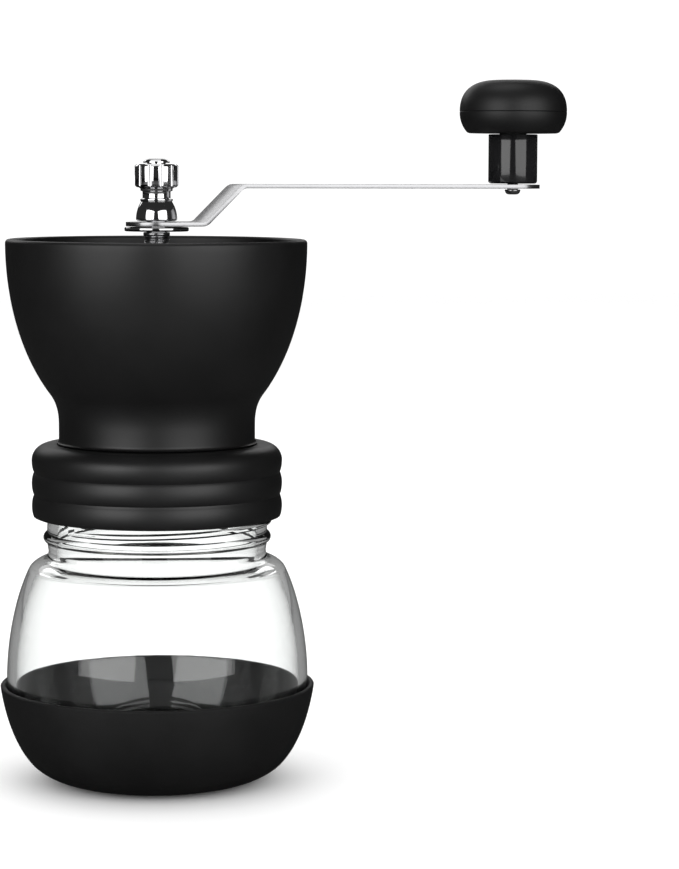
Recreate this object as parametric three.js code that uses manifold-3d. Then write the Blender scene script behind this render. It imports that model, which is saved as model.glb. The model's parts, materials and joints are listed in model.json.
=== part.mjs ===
// A hand crank coffee grinder, modelled as it comes apart on a bench.
//
// Four groups stack on one vertical axis, from the table up: a rubber boot, a glass jar, a mill
// head that screws onto the jar, and a drive that turns inside the mill head. Beans go into the
// open hopper, fall past a three-armed bridge into a pair of ceramic burrs, and drop as grounds
// into the jar. The crank clamps onto the top of the shaft under a thumb nut.
//
// Units are millimetres, +Z is up, and the origin is the middle of the boot's flat underside.
// The crank arm points along +X.
import * as THREE from "three";
import { mergeVertices } from "three/addons/utils/BufferGeometryUtils.js";
import Module from "manifold-3d";

const wasm = await Module();
wasm.setup();

// ---------------------------------------------------------------- driving dimensions

// Clearances between separate pieces.
const SEAT_GAP = 0.3; // between faces that rest on each other
const RUN_GAP = 0.2; // radial, between a shaft and what it turns in
const BURR_GAP = 1.0; // radial, between the burrs at the coarsest setting

// Facets of a full circle.
const WIDE_SEGMENTS = 32;
const MID_SEGMENTS = 24;
const SMALL_SEGMENTS = 16;
const THREAD_SEGMENTS = 16;
const COIL_SEGMENTS = 10;

// Overall heights.
const BODY_HEIGHT = 160; // table to hopper rim
const BOOT_HEIGHT = 29;
const COLLAR_BOTTOM = 78.5;
const COLLAR_HEIGHT = 21.5;

// Rubber boot.
const BOOT_RADIUS = 46.4; // outside, at its rim
const BOOT_WALL = 1.7;
const BOOT_FOOT_RADIUS = 21; // flat that stands on the table
const BOOT_CHEEK_INSET = 9.2; // in from the rim to where the side turns under
const BOOT_CHEEK_HEIGHT = 5.5;
const LIP_ROUND = 0.5; // on the edges of thin rims

// Glass jar.
const JAR_WALL = 2.6;
const JAR_NECK_RADIUS = 32; // outside, at the thread's root
const JAR_BEAD_HEIGHT = 1.5; // out from the neck
const JAR_BEAD_DROP = 5.9; // collar's underside down to the bead
const JAR_SHOULDER_DROP = 12; // collar's underside down to the foot of the neck
const JAR_SHOULDER_REACH = 5.6; // neck out to the crest of the shoulder
const JAR_SHOULDER_HEIGHT = 2.9;
const JAR_RIM_DROP = 4.5; // collar top down to the jar's rim
const JAR_FLOOR = 3.6; // glass under the grounds

// Thread between jar and collar.
const THREAD_PITCH = 4.5;
const THREAD_HEIGHT = 1.7; // jar's ridge, out from its root
const THREAD_ENGAGEMENT = 0.5; // how far the two ridges overlap radially
const THREAD_ROOT_WIDTH = 2.4;
const THREAD_CREST_WIDTH = 1;
const THREAD_BITE = 0.5; // how deep a ridge's root is buried in its wall
const JAR_THREAD_DROP = 2.9; // collar's underside down to the ridge's lower end
const JAR_THREAD_TURNS = 3;
const JAR_THREAD_ANGLE = 200; // where the lower end starts, degrees
const COLLAR_THREAD_START = 1.5; // turns up the jar's ridge
const COLLAR_THREAD_TURNS = 1.5;
const THREAD_DROP = 1.9; // the collar's ridge runs this far under the jar's

// Collar.
const COLLAR_CLEARANCE = 0.7; // radial, crest of the jar's thread to the collar's inside
const COLLAR_GROOVE_DEPTH = 0.8;
const COLLAR_SHOULDER_ROUND = 4.7;
const COLLAR_WALL = 2.4;
const COLLAR_WEB = 2.5; // top plate that the hopper stands on
const COLLAR_BANDS = 3;
const COLLAR_TOP_BAND = 3.5; // straight height of the band under the shoulder

// Hopper.
const HOPPER_RADIUS = 44.1;
const HOPPER_WALL = 2.2;
const NECK_HEIGHT = 5.7; // its straight part
const WAIST_REACH = 2.2; // neck out to where the flare turns into the bowl
const WAIST_HEIGHT = 14.3; // collar's top up to there
const BOWL_BULGE = 0.27; // share of the bowl's height where it flares most
const BOWL_FULLNESS = 0.65; // share of the bowl's height where it turns upright

// Mill core, the moulding that holds the burrs and the shaft.
const CORE_RECESS = 3; // collar's underside up to the core's
const CORE_NECK_GAP = 1; // radial, to the inside of the jar's neck
const CORE_WALL = 4.8; // round the outer burr, thick enough for the screws
const CORE_UPPER_WALL = 2.7; // round the burr's seat where the hopper's neck stands
const CORE_SEAT = 1.2; // web over the outer burr
const FUNNEL_HEIGHT = 7.5;
const FUNNEL_LIP = 0.7; // thickness of the funnel's upper edge
const THROAT_MARGIN = 1.7; // inner burr's skirt out to the throat
const SPOKE_WIDTH = 4;
const SPOKE_HEIGHT = 5.5;
const SPOKES = 3;
const HUB_LIP = 0.1; // hub's underside below the spokes
const HUB_RADIUS = 8.4;
const COLUMN_DROP = 11; // hopper rim down to the column's top
const COLUMN_TAPER = 1.2; // hub radius less the column's top radius
const BUSH_WALL = 1.1;
const BUSH_FLANGE = 1.1; // thickness
const BUSH_FLANGE_RADIUS = 7;
const BUSH_LENGTH = 10;

// Burrs.
const OUTER_BURR_WALL = 3.5; // at its thinnest
const OUTER_BURR_HEIGHT = 18;
const INNER_BURR_DROP = 1; // how far the inner burr hangs below the outer one
const INNER_BURR_EXTRA = 2; // how much taller it is
const INNER_BURR_TOP_RADIUS = 10.6;
const INNER_BURR_SKIRT = 3; // straight part at the bottom of the cone
const INNER_BURR_BORE = 8;
const GRINDING_ZONE = 5; // height over which the two burrs run parallel
const BURR_FLUTES = 8;
const BURR_FLUTE_DEPTH = 1.6;
const BURR_FLUTE_WIDTH = 26; // degrees
const BURR_FLUTE_TWIST = 40; // degrees over the cone's height
const RETAINER_THICKNESS = 2.2;
const RETAINER_LIP = 2.1; // how far the ring reaches in under the outer burr
const SCREWS = 3;
const SCREW_RADIUS = 1.2;
const SCREW_HEAD_RADIUS = 2.5;
const SCREW_HEAD_HEIGHT = 1.7;
const SCREW_LENGTH = 10;

// Burr carrier and the parts that hold it on the shaft.
const CARRIER_FLANGE = 1.8;
const CARRIER_FLANGE_RADIUS = 13;
const CARRIER_BOSS_HEIGHT = 9;
const CARRIER_KEYS = 3;
const KEY_WIDTH = 2.4;
const KEY_HEIGHT = 1.5; // out from the boss
const WASHER = 0.6; // thickness of the thin washers
const END_WASHER_RADIUS = 9;
const CLIP_THICKNESS = 0.8;
const CLIP_RADIUS = 7.2;
const CLIP_MOUTH = 4.6;
const SPRING_CLEARANCE = 1.25; // radial, to the inner burr's bore
const SPRING_WIRE_RADIUS = 0.65;
const SPRING_TURNS = 3.5;

// Shaft.
const SHAFT_RADIUS = 3.9;
const SHAFT_TAIL = 1.2; // shows below the clip
const CRANK_RISE = 2; // hopper rim up to the shaft's shoulder, where the crank's washer rests
const SHAFT_END_LENGTH = 12; // above that shoulder
const SHAFT_END_RADIUS = 2.9;
const FLATS_ACROSS = 4.4; // across the two flats that drive the crank
const LOWER_FLATS_ACROSS = 6; // across the two flats that drive the burr

// Adjusting nut.
const ADJUST_NUT_RADIUS = 8.5;
const ADJUST_NUT_HEIGHT = 4.9;
const ADJUST_NUT_GRIPS = 12;
const THRUST_WASHER = 1;
const THRUST_WASHER_RADIUS = 8;

// Crank.
const DRIVE_WASHER = 1.2;
const DRIVE_WASHER_RADIUS = 9.4;
const ARM_THICKNESS = 1.2;
const ARM_REACH = 110; // shaft axis to knob axis
const ARM_HUB_RADIUS = 9;
const ARM_END_RADIUS = 8.2;
const ARM_RISE = 11.1; // from the hub up to the long flat
const ARM_BEND_START = 12.9; // along the arm, where the slope begins
const ARM_BEND_ANGLE = 45;
const ARM_BEND_RADIUS = 3;

// Thumb nut.
const THUMB_NUT_HEIGHT = 16.6;
const THUMB_GRIP_HEIGHT = 6.8;
const THUMB_GRIP_RADIUS = 6.5;
const THUMB_GRIPS = 8;
const THUMB_WAIST_RADIUS = 4.1;
const THUMB_SKIRT_HEIGHT = 5.9;
const THUMB_SKIRT_RADIUS = 6.05;
const NUT_CAP_HEIGHT = 1.3;
const NUT_CAP_RADIUS = 3.85;

// Knob.
const KNOB_STEM_RADIUS = 7.4;
const KNOB_STEM_HEIGHT = 14.8;
const KNOB_RADIUS = 16.2;
const KNOB_HEIGHT = 16;
const KNOB_FOOT_RADIUS = 13.9;
const KNOB_BELLY_HEIGHT = 6.5; // foot up to the widest ring
const PIN_RADIUS = 2.4;
const PIN_HEAD_RADIUS = 4.2;
const PIN_HEAD_HEIGHT = 2;
const PIN_TAIL = 1.5; // what shows under the arm
const CAP_SPIGOT = 3; // how far the knob's cap reaches into the stem

// ---------------------------------------------------------------- derived heights

const COLLAR_TOP = COLLAR_BOTTOM + COLLAR_HEIGHT;
const COLLAR_CEILING = COLLAR_TOP - COLLAR_WEB;
const COLLAR_INSIDE = JAR_NECK_RADIUS + THREAD_HEIGHT + COLLAR_CLEARANCE;
const COLLAR_RADIUS = COLLAR_INSIDE + COLLAR_WALL;
const JAR_RIM = COLLAR_TOP - JAR_RIM_DROP;
const JAR_BEAD_Z = COLLAR_BOTTOM - JAR_BEAD_DROP;
const JAR_NECK_FOOT = COLLAR_BOTTOM - JAR_SHOULDER_DROP;
const JAR_THREAD_START = COLLAR_BOTTOM - JAR_THREAD_DROP;
const JAR_NECK_BORE = JAR_NECK_RADIUS - JAR_WALL;
const CORE_BOTTOM = COLLAR_BOTTOM + CORE_RECESS;
const CORE_LOWER_RADIUS = JAR_NECK_BORE - CORE_NECK_GAP;
const BOOT_FLOOR = BOOT_WALL;
const JAR_BOTTOM = BOOT_FLOOR + SEAT_GAP;
const BURR_SEAT_RADIUS = CORE_LOWER_RADIUS - CORE_WALL;
const CORE_UPPER_RADIUS = BURR_SEAT_RADIUS + CORE_UPPER_WALL;
const NECK_RADIUS = CORE_UPPER_RADIUS + SEAT_GAP + HOPPER_WALL;
const OUTER_BURR_RADIUS = BURR_SEAT_RADIUS - SEAT_GAP;
const INNER_BURR_RADIUS = OUTER_BURR_RADIUS - OUTER_BURR_WALL - BURR_GAP;
const THROAT_RADIUS = INNER_BURR_RADIUS + THROAT_MARGIN;
const OUTER_BURR_BOTTOM = CORE_BOTTOM;
const OUTER_BURR_TOP = OUTER_BURR_BOTTOM + OUTER_BURR_HEIGHT;
const INNER_BURR_BOTTOM = OUTER_BURR_BOTTOM - INNER_BURR_DROP;
const INNER_BURR_HEIGHT = OUTER_BURR_HEIGHT + INNER_BURR_EXTRA;
const CONE_BOTTOM = INNER_BURR_BOTTOM + INNER_BURR_SKIRT;
const CONE_TOP = INNER_BURR_BOTTOM + INNER_BURR_HEIGHT;
const BURR_SEAT_TOP = OUTER_BURR_TOP + SEAT_GAP;
const FUNNEL_BOTTOM = BURR_SEAT_TOP + CORE_SEAT;
const FUNNEL_TOP = FUNNEL_BOTTOM + FUNNEL_HEIGHT;
const HUB_BOTTOM = FUNNEL_TOP - SPOKE_HEIGHT - HUB_LIP;
const COLUMN_TOP = BODY_HEIGHT - COLUMN_DROP;
const RETAINER_TOP = CORE_BOTTOM - SEAT_GAP;
const RETAINER_BOTTOM = RETAINER_TOP - RETAINER_THICKNESS;
const SCREW_CIRCLE = (BURR_SEAT_RADIUS + CORE_LOWER_RADIUS) / 2;
const SCREW_HOLE_RADIUS = SCREW_RADIUS + SEAT_GAP;
const BUSH_INNER = SHAFT_RADIUS + RUN_GAP;
const BUSH_OUTER = BUSH_INNER + BUSH_WALL;
const COLUMN_BORE = BUSH_OUTER + RUN_GAP;
const CARRIER_TOP = INNER_BURR_BOTTOM + CARRIER_BOSS_HEIGHT;
const SPRING_COIL_RADIUS = INNER_BURR_BORE - SPRING_CLEARANCE - SPRING_WIRE_RADIUS;
const LOWER_FLATS_TOP = CARRIER_TOP + SEAT_GAP;
const CARRIER_FLANGE_TOP = INNER_BURR_BOTTOM - SEAT_GAP;
const CARRIER_BOTTOM = CARRIER_FLANGE_TOP - CARRIER_FLANGE;
const LOWER_BUSH_BOTTOM = HUB_BOTTOM - SEAT_GAP - BUSH_FLANGE;
const UPPER_BUSH_TOP = COLUMN_TOP + SEAT_GAP + BUSH_FLANGE;
const THRUST_WASHER_BOTTOM = UPPER_BUSH_TOP + RUN_GAP;
const ADJUST_NUT_BOTTOM = THRUST_WASHER_BOTTOM + THRUST_WASHER + RUN_GAP;
const CLIP_TOP = CARRIER_BOTTOM - WASHER - 2 * SEAT_GAP;
const SHAFT_BOTTOM = CLIP_TOP - CLIP_THICKNESS - SHAFT_TAIL;
const SHAFT_SHOULDER = BODY_HEIGHT + CRANK_RISE;
const SHAFT_END = SHAFT_SHOULDER + SHAFT_END_LENGTH;
const DRIVE_WASHER_BOTTOM = SHAFT_SHOULDER + SEAT_GAP;
const ARM_BOTTOM = DRIVE_WASHER_BOTTOM + DRIVE_WASHER + SEAT_GAP;
const ARM_TOP = ARM_BOTTOM + ARM_THICKNESS;
const LONG_FLAT_TOP = ARM_TOP + ARM_RISE;
const THUMB_NUT_BOTTOM = ARM_TOP + SEAT_GAP;
const THUMB_NUT_TOP = THUMB_NUT_BOTTOM + THUMB_NUT_HEIGHT;
const THUMB_NUT_BORE = SHAFT_END_RADIUS + SEAT_GAP;
const STEM_BOTTOM = LONG_FLAT_TOP + SEAT_GAP;
const STEM_TOP = STEM_BOTTOM + KNOB_STEM_HEIGHT;
const KNOB_BOTTOM = STEM_TOP + SEAT_GAP;

// ---------------------------------------------------------------- helpers

const radians = THREE.MathUtils.degToRad;
const point = (radius, height) => new THREE.Vector2(radius, height);

// Points along a quadratic or cubic Bezier curve, from its control points.
function curve(controls, steps) {
  const bezier =
    controls.length === 3
      ? new THREE.QuadraticBezierCurve(...controls)
      : new THREE.CubicBezierCurve(...controls);
  return bezier.getPoints(steps);
}

// Points along an arc of a circle about (radius, height), angles in degrees from the radial way.
function arc(radius, height, bend, from, to, steps) {
  return Array.from({ length: steps + 1 }, (_, i) => {
    const angle = radians(from + ((to - from) * i) / steps);
    return point(radius + bend * Math.cos(angle), height + bend * Math.sin(angle));
  });
}

// The same outline moved sideways by a distance, to the left of its direction of travel.
function offset(outline, distance) {
  return outline.map((at, i) => {
    const before = outline[Math.max(i - 1, 0)];
    const after = outline[Math.min(i + 1, outline.length - 1)];
    const along = after.clone().sub(before).normalize();
    return point(at.x - along.y * distance, at.y + along.x * distance);
  });
}

// A closed ring or solid of revolution about Z. The outline runs anticlockwise in (radius, height).
function revolve(outline, segments) {
  const points = outline.map((p) => p.clone());
  if (points[0].x > 0) points.push(points[0].clone());
  return new THREE.LatheGeometry(points, segments).rotateX(Math.PI / 2);
}

// A tube between two radii and two heights.
function tube(inner, outer, bottom, top, segments) {
  const outline = [point(inner, bottom), point(outer, bottom), point(outer, top), point(inner, top)];
  return revolve(outline, segments);
}

// A plain upright cylinder.
function rod(radius, bottom, top, segments) {
  return revolve([point(0, bottom), point(radius, bottom), point(radius, top), point(0, top)], segments);
}

function box(length, width, height, x, y, z) {
  return new THREE.BoxGeometry(length, width, height).translate(x, y, z);
}

// A closed geometry as a solid that can be joined and cut.
function solid(geometry) {
  const bare = geometry.clone();
  bare.deleteAttribute("normal");
  bare.deleteAttribute("uv");
  const merged = mergeVertices(bare, 1e-4);
  return new wasm.Manifold(
    new wasm.Mesh({
      numProp: 3,
      vertProperties: merged.attributes.position.array,
      triVerts: new Uint32Array(merged.index.array),
    }),
  );
}

function geometryOf(manifold) {
  const mesh = manifold.getMesh();
  return new THREE.BufferGeometry()
    .setAttribute("position", new THREE.BufferAttribute(mesh.vertProperties, 3))
    .setIndex(new THREE.BufferAttribute(mesh.triVerts, 1));
}

const join = (base, ...tools) => geometryOf(tools.reduce((made, t) => made.add(solid(t)), solid(base)));
const cut = (base, ...tools) => geometryOf(tools.reduce((made, t) => made.subtract(solid(t)), solid(base)));

// Copies of a geometry spread evenly about Z.
function around(count, geometry, start = 0) {
  return Array.from({ length: count }, (_, i) =>
    geometry.clone().rotateZ(radians(start) + (2 * Math.PI * i) / count),
  );
}

// A helical ridge with tapered ends. Its root lies on one radius and its crest on another.
function ridge({ root, crest, start, turns, angle }) {
  const steps = Math.round(turns * THREAD_SEGMENTS);
  const taper = THREAD_SEGMENTS / 6;
  const positions = [];
  for (let i = 0; i <= steps; i += 1) {
    const turn = radians(angle) + (i / steps) * turns * 2 * Math.PI;
    const height = start + (i / steps) * turns * THREAD_PITCH;
    const full = Math.max(0.05, Math.min(1, i / taper, (steps - i) / taper));
    const tip = root + (crest - root) * full;
    const section = [
      [root, -THREAD_ROOT_WIDTH / 2],
      [tip, -THREAD_CREST_WIDTH / 2],
      [tip, THREAD_CREST_WIDTH / 2],
      [root, THREAD_ROOT_WIDTH / 2],
    ];
    for (const [r, dz] of section) positions.push(r * Math.cos(turn), r * Math.sin(turn), height + dz);
  }
  const faces = [];
  const outward = crest > root;
  const quad = (a, b, c, d) => faces.push(...(outward ? [a, b, c, a, c, d] : [a, c, b, a, d, c]));
  for (let i = 0; i < steps; i += 1) {
    for (let k = 0; k < 4; k += 1) {
      const next = (k + 1) % 4;
      quad(4 * i + k, 4 * i + 4 + k, 4 * i + 4 + next, 4 * i + next);
    }
  }
  quad(0, 1, 2, 3);
  const last = 4 * steps;
  quad(last + 3, last + 2, last + 1, last);
  return new THREE.BufferGeometry()
    .setAttribute("position", new THREE.Float32BufferAttribute(positions, 3))
    .setIndex(faces);
}

// A flat shape with a thickness, lying level with its underside at a height.
function plate(shape, bottom, thickness, curveSegments = 10) {
  return new THREE.ExtrudeGeometry(shape, { depth: thickness, bevelEnabled: false, curveSegments }).translate(
    0,
    0,
    bottom,
  );
}

// A hole outline with two flats, as the crank's drive has: an arc each side and two straight edges.
function flattedCircle(radius, across) {
  const half = Math.asin(across / 2 / radius);
  const shape = new THREE.Shape();
  shape.absarc(0, 0, radius, -half, half, false);
  shape.absarc(0, 0, radius, Math.PI - half, Math.PI + half, false);
  shape.closePath();
  return shape;
}

// ---------------------------------------------------------------- boot and jar

// The boot's outside, from the foot's edge up to the rim.
function bootOutline() {
  const rim = point(BOOT_RADIUS, BOOT_HEIGHT - LIP_ROUND);
  const cheek = point(BOOT_RADIUS - BOOT_CHEEK_INSET, BOOT_CHEEK_HEIGHT);
  const side = point(BOOT_RADIUS - BOOT_CHEEK_INSET / 6, 0.64 * BOOT_HEIGHT);
  const haunch = point(BOOT_RADIUS - BOOT_CHEEK_INSET / 2, 0.36 * BOOT_HEIGHT);
  const turn = point(cheek.x - BOOT_CHEEK_HEIGHT, 0.2);
  const upper = curve([rim, side, haunch, cheek], 4);
  const lower = curve([cheek, turn, point(BOOT_FOOT_RADIUS, 0)], 3);
  return [...upper, ...lower.slice(1)].reverse();
}

function bootGeometry() {
  const outside = bootOutline();
  const inside = offset(outside, BOOT_WALL).map((p) => point(p.x, Math.max(p.y, BOOT_FLOOR)));
  const lip = point(BOOT_RADIUS - LIP_ROUND, BOOT_HEIGHT);
  const rim = point(BOOT_RADIUS - BOOT_WALL + LIP_ROUND / 2, BOOT_HEIGHT);
  const outline = [point(0, 0), ...outside, lip, rim, ...inside.reverse(), point(0, BOOT_FLOOR)];
  return revolve(outline, WIDE_SEGMENTS);
}

// The jar's outside from the edge of its base up to the foot of its neck. In the boot it keeps
// the boot's curve, and above the boot it draws in to a rounded shoulder.
function jarOutline() {
  const nested = offset(bootOutline(), BOOT_WALL + SEAT_GAP);
  const seated = nested.map((p) => point(p.x, Math.max(p.y, JAR_BOTTOM)));
  const widest = seated[seated.length - 1];
  const crest = point(JAR_NECK_RADIUS + JAR_SHOULDER_REACH, JAR_NECK_FOOT - JAR_SHOULDER_HEIGHT);
  const rise = crest.y - widest.y;
  const lowWaist = point(widest.x + 0.3, widest.y + rise / 3);
  const highWaist = point(widest.x - 2.4, widest.y + 0.75 * rise);
  const waist = curve([widest, lowWaist, highWaist, crest], 5);
  const bend = point(crest.x - 1.4, JAR_NECK_FOOT - 0.9);
  const shoulder = curve([crest, bend, point(JAR_NECK_RADIUS + 1, JAR_NECK_FOOT)], 2);
  return [...seated, ...waist.slice(1), ...shoulder.slice(1)];
}

function jarGeometry() {
  const outside = jarOutline();
  const floor = JAR_BOTTOM + JAR_FLOOR;
  const inside = offset(outside, JAR_WALL).map((p) => point(p.x, Math.max(p.y, floor)));
  const bead = arc(JAR_NECK_RADIUS, JAR_BEAD_Z, JAR_BEAD_HEIGHT, -80, 80, 3);
  const rimRound = JAR_WALL * 0.3;
  const outline = [
    point(0, JAR_BOTTOM),
    ...outside,
    point(JAR_NECK_RADIUS, JAR_NECK_FOOT + 1.6),
    ...bead,
    point(JAR_NECK_RADIUS, JAR_RIM - rimRound),
    point(JAR_NECK_RADIUS - rimRound, JAR_RIM),
    point(JAR_NECK_BORE + rimRound, JAR_RIM),
    point(JAR_NECK_BORE, JAR_RIM - rimRound),
    point(JAR_NECK_BORE, JAR_NECK_FOOT - JAR_WALL / 2),
    ...inside.reverse(),
    point(0, floor),
  ];
  const thread = ridge({
    root: JAR_NECK_RADIUS - THREAD_BITE,
    crest: JAR_NECK_RADIUS + THREAD_HEIGHT,
    start: JAR_THREAD_START,
    turns: JAR_THREAD_TURNS,
    angle: JAR_THREAD_ANGLE,
  });
  return join(revolve(outline, WIDE_SEGMENTS), thread);
}

function gasketGeometry() {
  const bottom = JAR_RIM + SEAT_GAP;
  const inner = CORE_LOWER_RADIUS + 2 * SEAT_GAP;
  const outer = COLLAR_INSIDE - 1;
  return tube(inner, outer, bottom, COLLAR_CEILING - SEAT_GAP, WIDE_SEGMENTS);
}

// ---------------------------------------------------------------- mill head

// A grip ring whose outside is a stack of shallow rounded bands under a rounded shoulder.
function collarGeometry() {
  const bandHeight = (COLLAR_HEIGHT - COLLAR_SHOULDER_ROUND - COLLAR_TOP_BAND) / (COLLAR_BANDS - 1);
  const grooveRadius = COLLAR_RADIUS - COLLAR_GROOVE_DEPTH;
  const skirt = [point(COLLAR_RADIUS - 1, COLLAR_BOTTOM)];
  for (let band = 0; band < COLLAR_BANDS - 1; band += 1) {
    const low = COLLAR_BOTTOM + band * bandHeight;
    skirt.push(
      point(COLLAR_RADIUS - 0.1, low + 1),
      point(COLLAR_RADIUS, low + bandHeight * 0.45),
      point(COLLAR_RADIUS - 0.2, low + bandHeight - 1),
      point(grooveRadius, low + bandHeight),
    );
  }
  const round = COLLAR_SHOULDER_ROUND;
  const shoulder = arc(COLLAR_RADIUS - round, COLLAR_TOP - round, round, 0, 90, 4);
  const bore = CORE_UPPER_RADIUS + SEAT_GAP;
  const outline = [
    ...skirt,
    point(COLLAR_RADIUS - 0.2, COLLAR_BOTTOM + (COLLAR_BANDS - 1) * bandHeight + 1),
    ...shoulder,
    point(bore, COLLAR_TOP),
    point(bore, COLLAR_CEILING),
    point(COLLAR_INSIDE, COLLAR_CEILING),
    point(COLLAR_INSIDE, COLLAR_BOTTOM + 0.5),
    point(COLLAR_INSIDE + 0.5, COLLAR_BOTTOM),
  ];
  const thread = ridge({
    root: COLLAR_INSIDE + THREAD_BITE,
    crest: JAR_NECK_RADIUS + THREAD_HEIGHT - THREAD_ENGAGEMENT,
    start: JAR_THREAD_START + COLLAR_THREAD_START * THREAD_PITCH - THREAD_DROP,
    turns: COLLAR_THREAD_TURNS,
    angle: JAR_THREAD_ANGLE + 360 * COLLAR_THREAD_START,
  });
  return join(revolve(outline, WIDE_SEGMENTS), thread);
}

// The hopper's outside from the foot of its neck up to the rim.
function hopperOutline() {
  const foot = COLLAR_TOP + SEAT_GAP;
  const neckTop = foot + NECK_HEIGHT;
  const waist = point(NECK_RADIUS + WAIST_REACH, COLLAR_TOP + WAIST_HEIGHT);
  const rim = point(HOPPER_RADIUS, BODY_HEIGHT - LIP_ROUND);
  const bulge = waist.y + BOWL_BULGE * (rim.y - waist.y);
  const fullness = waist.y + BOWL_FULLNESS * (rim.y - waist.y);
  const flare = point(waist.x + 0.7 * (rim.x - waist.x), bulge);
  const bend = point(NECK_RADIUS, (neckTop + waist.y) / 2 + 1);
  const neck = curve([point(NECK_RADIUS, neckTop), bend, waist], 3);
  const bowl = curve([waist, flare, point(rim.x, fullness), rim], 6);
  return [point(NECK_RADIUS, foot), ...neck, ...bowl.slice(1)];
}

function hopperGeometry() {
  const outside = hopperOutline();
  const inside = offset(outside, HOPPER_WALL);
  const outline = [
    ...outside,
    point(HOPPER_RADIUS - LIP_ROUND, BODY_HEIGHT),
    point(HOPPER_RADIUS - HOPPER_WALL + LIP_ROUND, BODY_HEIGHT),
    ...inside.reverse(),
  ];
  return revolve(outline, WIDE_SEGMENTS);
}

// Burr housing, funnel, three spokes and the tall column that carries the shaft.
function coreGeometry() {
  const step = COLLAR_CEILING - SEAT_GAP;
  const housing = revolve(
    [
      point(BURR_SEAT_RADIUS, CORE_BOTTOM),
      point(CORE_LOWER_RADIUS, CORE_BOTTOM),
      point(CORE_LOWER_RADIUS, step),
      point(CORE_UPPER_RADIUS, step),
      point(CORE_UPPER_RADIUS, FUNNEL_TOP),
      point(CORE_UPPER_RADIUS - FUNNEL_LIP, FUNNEL_TOP),
      point(THROAT_RADIUS, FUNNEL_BOTTOM),
      point(THROAT_RADIUS, BURR_SEAT_TOP),
      point(BURR_SEAT_RADIUS, BURR_SEAT_TOP),
    ],
    WIDE_SEGMENTS,
  );
  const hubTop = FUNNEL_TOP + 0.5;
  const columnTopRadius = HUB_RADIUS - COLUMN_TAPER;
  const column = revolve(
    [
      point(0, HUB_BOTTOM),
      point(HUB_RADIUS, HUB_BOTTOM),
      point(HUB_RADIUS, hubTop),
      point(HUB_RADIUS - COLUMN_TAPER / 2, hubTop + 3),
      point(columnTopRadius, COLUMN_TOP - LIP_ROUND),
      point(columnTopRadius - LIP_ROUND, COLUMN_TOP),
      point(0, COLUMN_TOP),
    ],
    SMALL_SEGMENTS,
  );
  const spokeEnd = CORE_UPPER_RADIUS - FUNNEL_LIP / 2;
  const spoke = box(spokeEnd, SPOKE_WIDTH, SPOKE_HEIGHT, spokeEnd / 2, 0, FUNNEL_TOP - SPOKE_HEIGHT / 2);
  const whole = join(housing, column, ...around(SPOKES, spoke, 30));
  const bore = rod(COLUMN_BORE, HUB_BOTTOM - 1, COLUMN_TOP + 1, SMALL_SEGMENTS);
  const pilot = rod(SCREW_HOLE_RADIUS, CORE_BOTTOM - 1, RETAINER_BOTTOM + SCREW_LENGTH + 1, 12);
  return cut(whole, bore, ...around(SCREWS, pilot.translate(SCREW_CIRCLE, 0, 0), 90));
}

function bushGeometry(bottom, flangeAtTop) {
  const barrel = tube(BUSH_INNER, BUSH_OUTER, bottom, bottom + BUSH_LENGTH, SMALL_SEGMENTS);
  const low = flangeAtTop ? bottom + BUSH_LENGTH - BUSH_FLANGE : bottom;
  const flange = tube(BUSH_INNER, BUSH_FLANGE_RADIUS, low, low + BUSH_FLANGE, SMALL_SEGMENTS);
  return join(barrel, flange);
}

// The cone's radius at a height.
function coneRadius(height) {
  const share = Math.max(0, (height - CONE_BOTTOM) / (CONE_TOP - CONE_BOTTOM));
  return INNER_BURR_RADIUS - share * (INNER_BURR_RADIUS - INNER_BURR_TOP_RADIUS);
}

// A ceramic ring whose mouth narrows to the grinding zone and then follows the inner burr's cone.
function outerBurrGeometry() {
  const pinch = CONE_BOTTOM + GRINDING_ZONE;
  const outline = [
    point(INNER_BURR_RADIUS + BURR_GAP, OUTER_BURR_BOTTOM),
    point(OUTER_BURR_RADIUS, OUTER_BURR_BOTTOM),
    point(OUTER_BURR_RADIUS, OUTER_BURR_TOP),
    point(THROAT_RADIUS - 0.3, OUTER_BURR_TOP),
    point(coneRadius(pinch) + BURR_GAP, pinch),
    point(INNER_BURR_RADIUS + BURR_GAP, CONE_BOTTOM),
  ];
  return revolve(outline, MID_SEGMENTS);
}

// One crushing flute: a wedge that follows the cone from its top down towards the grinding zone.
function fluteGeometry() {
  const steps = 6;
  const top = CONE_TOP + 1;
  const bottom = CONE_BOTTOM + 1;
  const positions = [];
  for (let i = 0; i <= steps; i += 1) {
    const share = i / steps;
    const height = top + (bottom - top) * share;
    const surface = coneRadius(height);
    const turn = radians(BURR_FLUTE_TWIST) * share;
    const depth = BURR_FLUTE_DEPTH * (1 - share * 0.95);
    const halfWidth = radians(BURR_FLUTE_WIDTH) / 2;
    const corners = [
      [surface - depth, 0],
      [surface + 2, -halfWidth],
      [surface + 2, halfWidth],
    ];
    for (const [r, side] of corners) {
      positions.push(r * Math.cos(turn + side), r * Math.sin(turn + side), height);
    }
  }
  const faces = [0, 1, 2];
  for (let i = 0; i < steps; i += 1) {
    for (let k = 0; k < 3; k += 1) {
      const next = (k + 1) % 3;
      const [a, b, c, d] = [3 * i + k, 3 * i + next, 3 * i + 3 + next, 3 * i + 3 + k];
      faces.push(a, c, b, a, d, c);
    }
  }
  faces.push(3 * steps, 3 * steps + 2, 3 * steps + 1);
  return new THREE.BufferGeometry()
    .setAttribute("position", new THREE.Float32BufferAttribute(positions, 3))
    .setIndex(faces);
}

function keyGeometry(radius, width, height, bottom, top) {
  return box(radius + height, width, top - bottom, (radius + height) / 2, 0, (top + bottom) / 2);
}

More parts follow.
